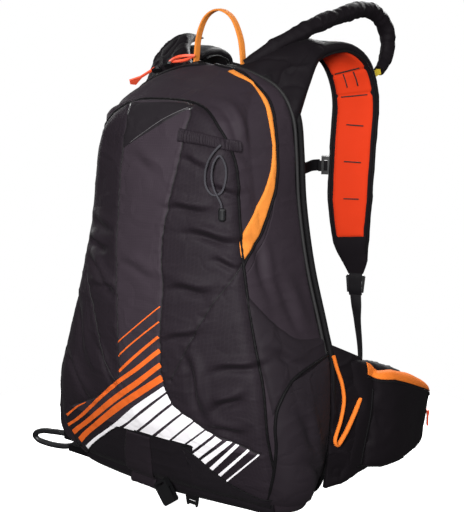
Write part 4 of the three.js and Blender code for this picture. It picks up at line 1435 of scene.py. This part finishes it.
def pocket_trim(side, sign, pieces):
    """The zip's cover along the top of the hip pocket, and the sewn lines round it."""
    body = f"hip_{side}"
    ribbon = Ribbon(HIP_POCKET, sign, 160)
    outward = np.array([sign, -0.15, 0.1])
    if np.dot(ribbon.out[60], outward) < 0:
        ribbon.out *= -1

    def place(shares, heights, lift, tilt=0.0):
        rows = np.clip((np.asarray(shares) * (ribbon.count - 1)).astype(int), 0, ribbon.count - 1)
        half = ribbon.width[rows] / 2
        points = ribbon.mid[rows] + ribbon.wide[rows] * (np.asarray(heights) * half)[:, None]
        aims = ribbon.out[rows] * math.cos(tilt) + ribbon.wide[rows] * math.sin(tilt)
        return onto(pieces, points + aims * OUTSIDE, -aims, lift)

    t = np.linspace(COVER_AT[0], COVER_AT[-1], 70)
    tops, lows = np.interp(t, COVER_AT, COVER_TOP), np.interp(t, COVER_AT, COVER_LOW)
    rows = [place(t, between(tops, lows, f), 1.4, 1.25 * (1 - f)) for f in np.linspace(0, 1, 13)]
    cover = grid_object(f"hip_zip_cover_{side}", np.array(rows), "deep orange")
    settle(thicken(cover, 0.5), body)
    piping(f"hip_zip_{side}", place(t, lows - 0.05, 0.4), 1.1, "webbing", 8, body)
    line = place(np.linspace(0.12, 0.97, 80), np.full(80, -0.93), 0.3)
    piping(f"hip_piping_lower_{side}", line, 1.4, "binding", 8, body)
    line = place(np.full(50, 0.19), np.linspace(-0.9, 0.66, 50), 0.4)
    piping(f"hip_piping_front_{side}", line, 1.2, "binding", 8, body)


def add_fin(side, sign):
    """The cloth that carries the bag's side round onto the belt."""
    mirror = np.array([sign, 1, 1])
    back, front = spline(FIN_BACK, 110) * mirror, spline(FIN_FRONT, 110) * mirror
    f = np.linspace(0, 1, 34)
    middle = between(back[:, None], front[:, None], f[None, :, None])
    bow = np.sin(np.pi * f)[None, :]
    depth = 5 * bow + 2.2 * creases(middle, 30, 71) + 2.0 * (value_noise(middle, 21, 72) - 0.5)
    outward = np.array([sign, -0.3, 0])
    outer = middle + outward * (depth + 1.5)[..., None]
    inner = middle - outward * (2 + 2 * bow)[..., None]
    obj = capped(f"hip_fin_{side}", np.concatenate([outer, inner[:, ::-1]], axis=1), "dark")
    bend = ("pack", f"hip_{side}", (sign * 0.178, -0.006, -0.18), (sign * 0.186, 0.03, -0.18))
    settle(obj, stands_for=[f"hip_root_{side}"], bend=bend)


HIP_TAIL = [(121, 259, -257), (104, 266, -260), (84, 271, -262), (70, 272, -262)]


def add_hip_belt():
    for side, sign in SIDES:
        body = f"hip_{side}"
        wing = dress(inflate(soft_copy(f"hip_wing_{side}", f"hip_wing_{side}_foam", 5, 4), 2.0), "dark", 0.8)
        settle(wing, body, [f"hip_wing_{side}"])
        pocket = inflate(soft_copy(f"hip_pocket_{side}", f"hip_pocket_{side}_cloth", 4.5, 5), 4.0)
        pocket = dress(pocket, "dark", 1.3, 24, 5)
        settle(pocket, body, [f"hip_pocket_{side}"])
        pocket_trim(side, sign, [pocket, wing])
        add_fin(side, sign)
        stations = [(*place, 0.1 * sign, 0.2 * sign, 25, 2, 1) for place in HIP_TAIL]
        band = tape(f"hip_tape_{side}", Ribbon(stations, sign, 60))
        settle(band, body, [f"hip_webbing_{side}"])


# ---------- cords ----------
BUNGEE = [
    (97, 172, 11), (93, 167, 10), (86, 156, 8.5), (81, 139, 7), (83, 123, 6.5), (91, 115, 6.5),
    (99, 118, 7), (103, 133, 9), (102, 150, 11), (98, 160, 13.5), (93, 153, 12), (91, 137, 11),
    (94, 123, 11), (98, 114, 11), (101, 107, 10.5), (102, 101, 9.5),
]
SKI_LOOP = [
    (-197, -99, -257), (-206, -101, -257), (-219, -103, -258), (-235, -105, -260), (-246, -107, -264),
    (-251, -107, -270), (-247, -105, -276), (-234, -102, -279), (-218, -98, -280), (-205, -95, -279),
    (-196, -92, -277),
]
PULL = [
    (180, -14, -92), (182, -9, -108), (187, -4, -130), (190, -4, -150), (191, -12, -172), (192, -26, -195),
    (193, -22, -201), (194, -6, -191), (195, 8, -176), (195, 20, -163), (194, 28, -155),
]


def pocket_face(x, z):
    """y of the front pocket's face at x and z."""
    return float(skin.at(np.array(skin.front(x, z)))[1]) - 8


def free_cord(
    name, route, diameter, material, node, body=None, bend=None, flat=1.0
):
    """A free cord along its route. It stands for one frame node."""
    path = spline(route, 260)
    obj = tube(name, path, diameter / 2, material, 10, flat)
    settle(obj, body, [node], bend)
    metres = [tuple(float(c) * MM for c in p) for p in spline(route, 60)]


def add_cords():
    route = [(x, pocket_face(x, z) - lift, z) for x, z, lift in BUNGEE]
    free_cord("axe_cord", route, 2.6, "cord", "axe_bungee", "lid")
    free_cord("ski_loop_cord", SKI_LOOP, 8, "rubber", "ski_loop", "pack")
    bend = ("pack", "hip_right", (0.19, -0.014, -0.19), (0.19, 0.018, -0.19))
    free_cord("pull_tape", PULL, 6, "deep orange", "pull_cord", bend=bend, flat=0.8)


# ---------- hard pieces ----------
# Frame nodes shown as they are: how the name starts, and the material.
HARD = {
    "ladder_lock": "plastic", "sternum_slider": "plastic", "sternum_webbing": "webbing",
    "sternum_buckle": "plastic", "ski_hook": "yellow", "strap_hook_loop": "webbing",
    "hip_buckle": "plastic", "main_slider": "plastic", "main_pull": "red", "cord_end": "rubber",
    "ski_loop_anchor": "binding", "base_buckle": "plastic", "base_ladder": "plastic",
    "hip_zip_slider": "red", "frame_sheet": "lining", "tool_sleeve": "lining",
}


def finish_hard_pieces():
    """A material and a small rounded edge for each hard piece."""
    for name, node in nodes.items():
        key = next((k for k in HARD if name.startswith(k)), None)
        if key is None:
            continue
        node.data.materials.clear()
        node.data.materials.append(MATS[HARD[key]])
        bevel = node.modifiers.new("edge", "BEVEL")
        bevel.width, bevel.segments = 0.6 * MM, 2
        bevel.limit_method, bevel.angle_limit = "ANGLE", math.radians(30)


def main():
    add_camera()
    add_studio()
    place_folds()
    add_shell_and_lid()
    panel = add_front()
    add_gathered_strip(panel)
    add_prints(panel)
    add_base(panel)
    add_zip()
    add_sides()
    add_back()
    add_straps()
    add_webbings()
    add_sleeve()
    add_haul_loop()
    add_hip_belt()
    add_cords()
    finish_hard_pieces()


main()
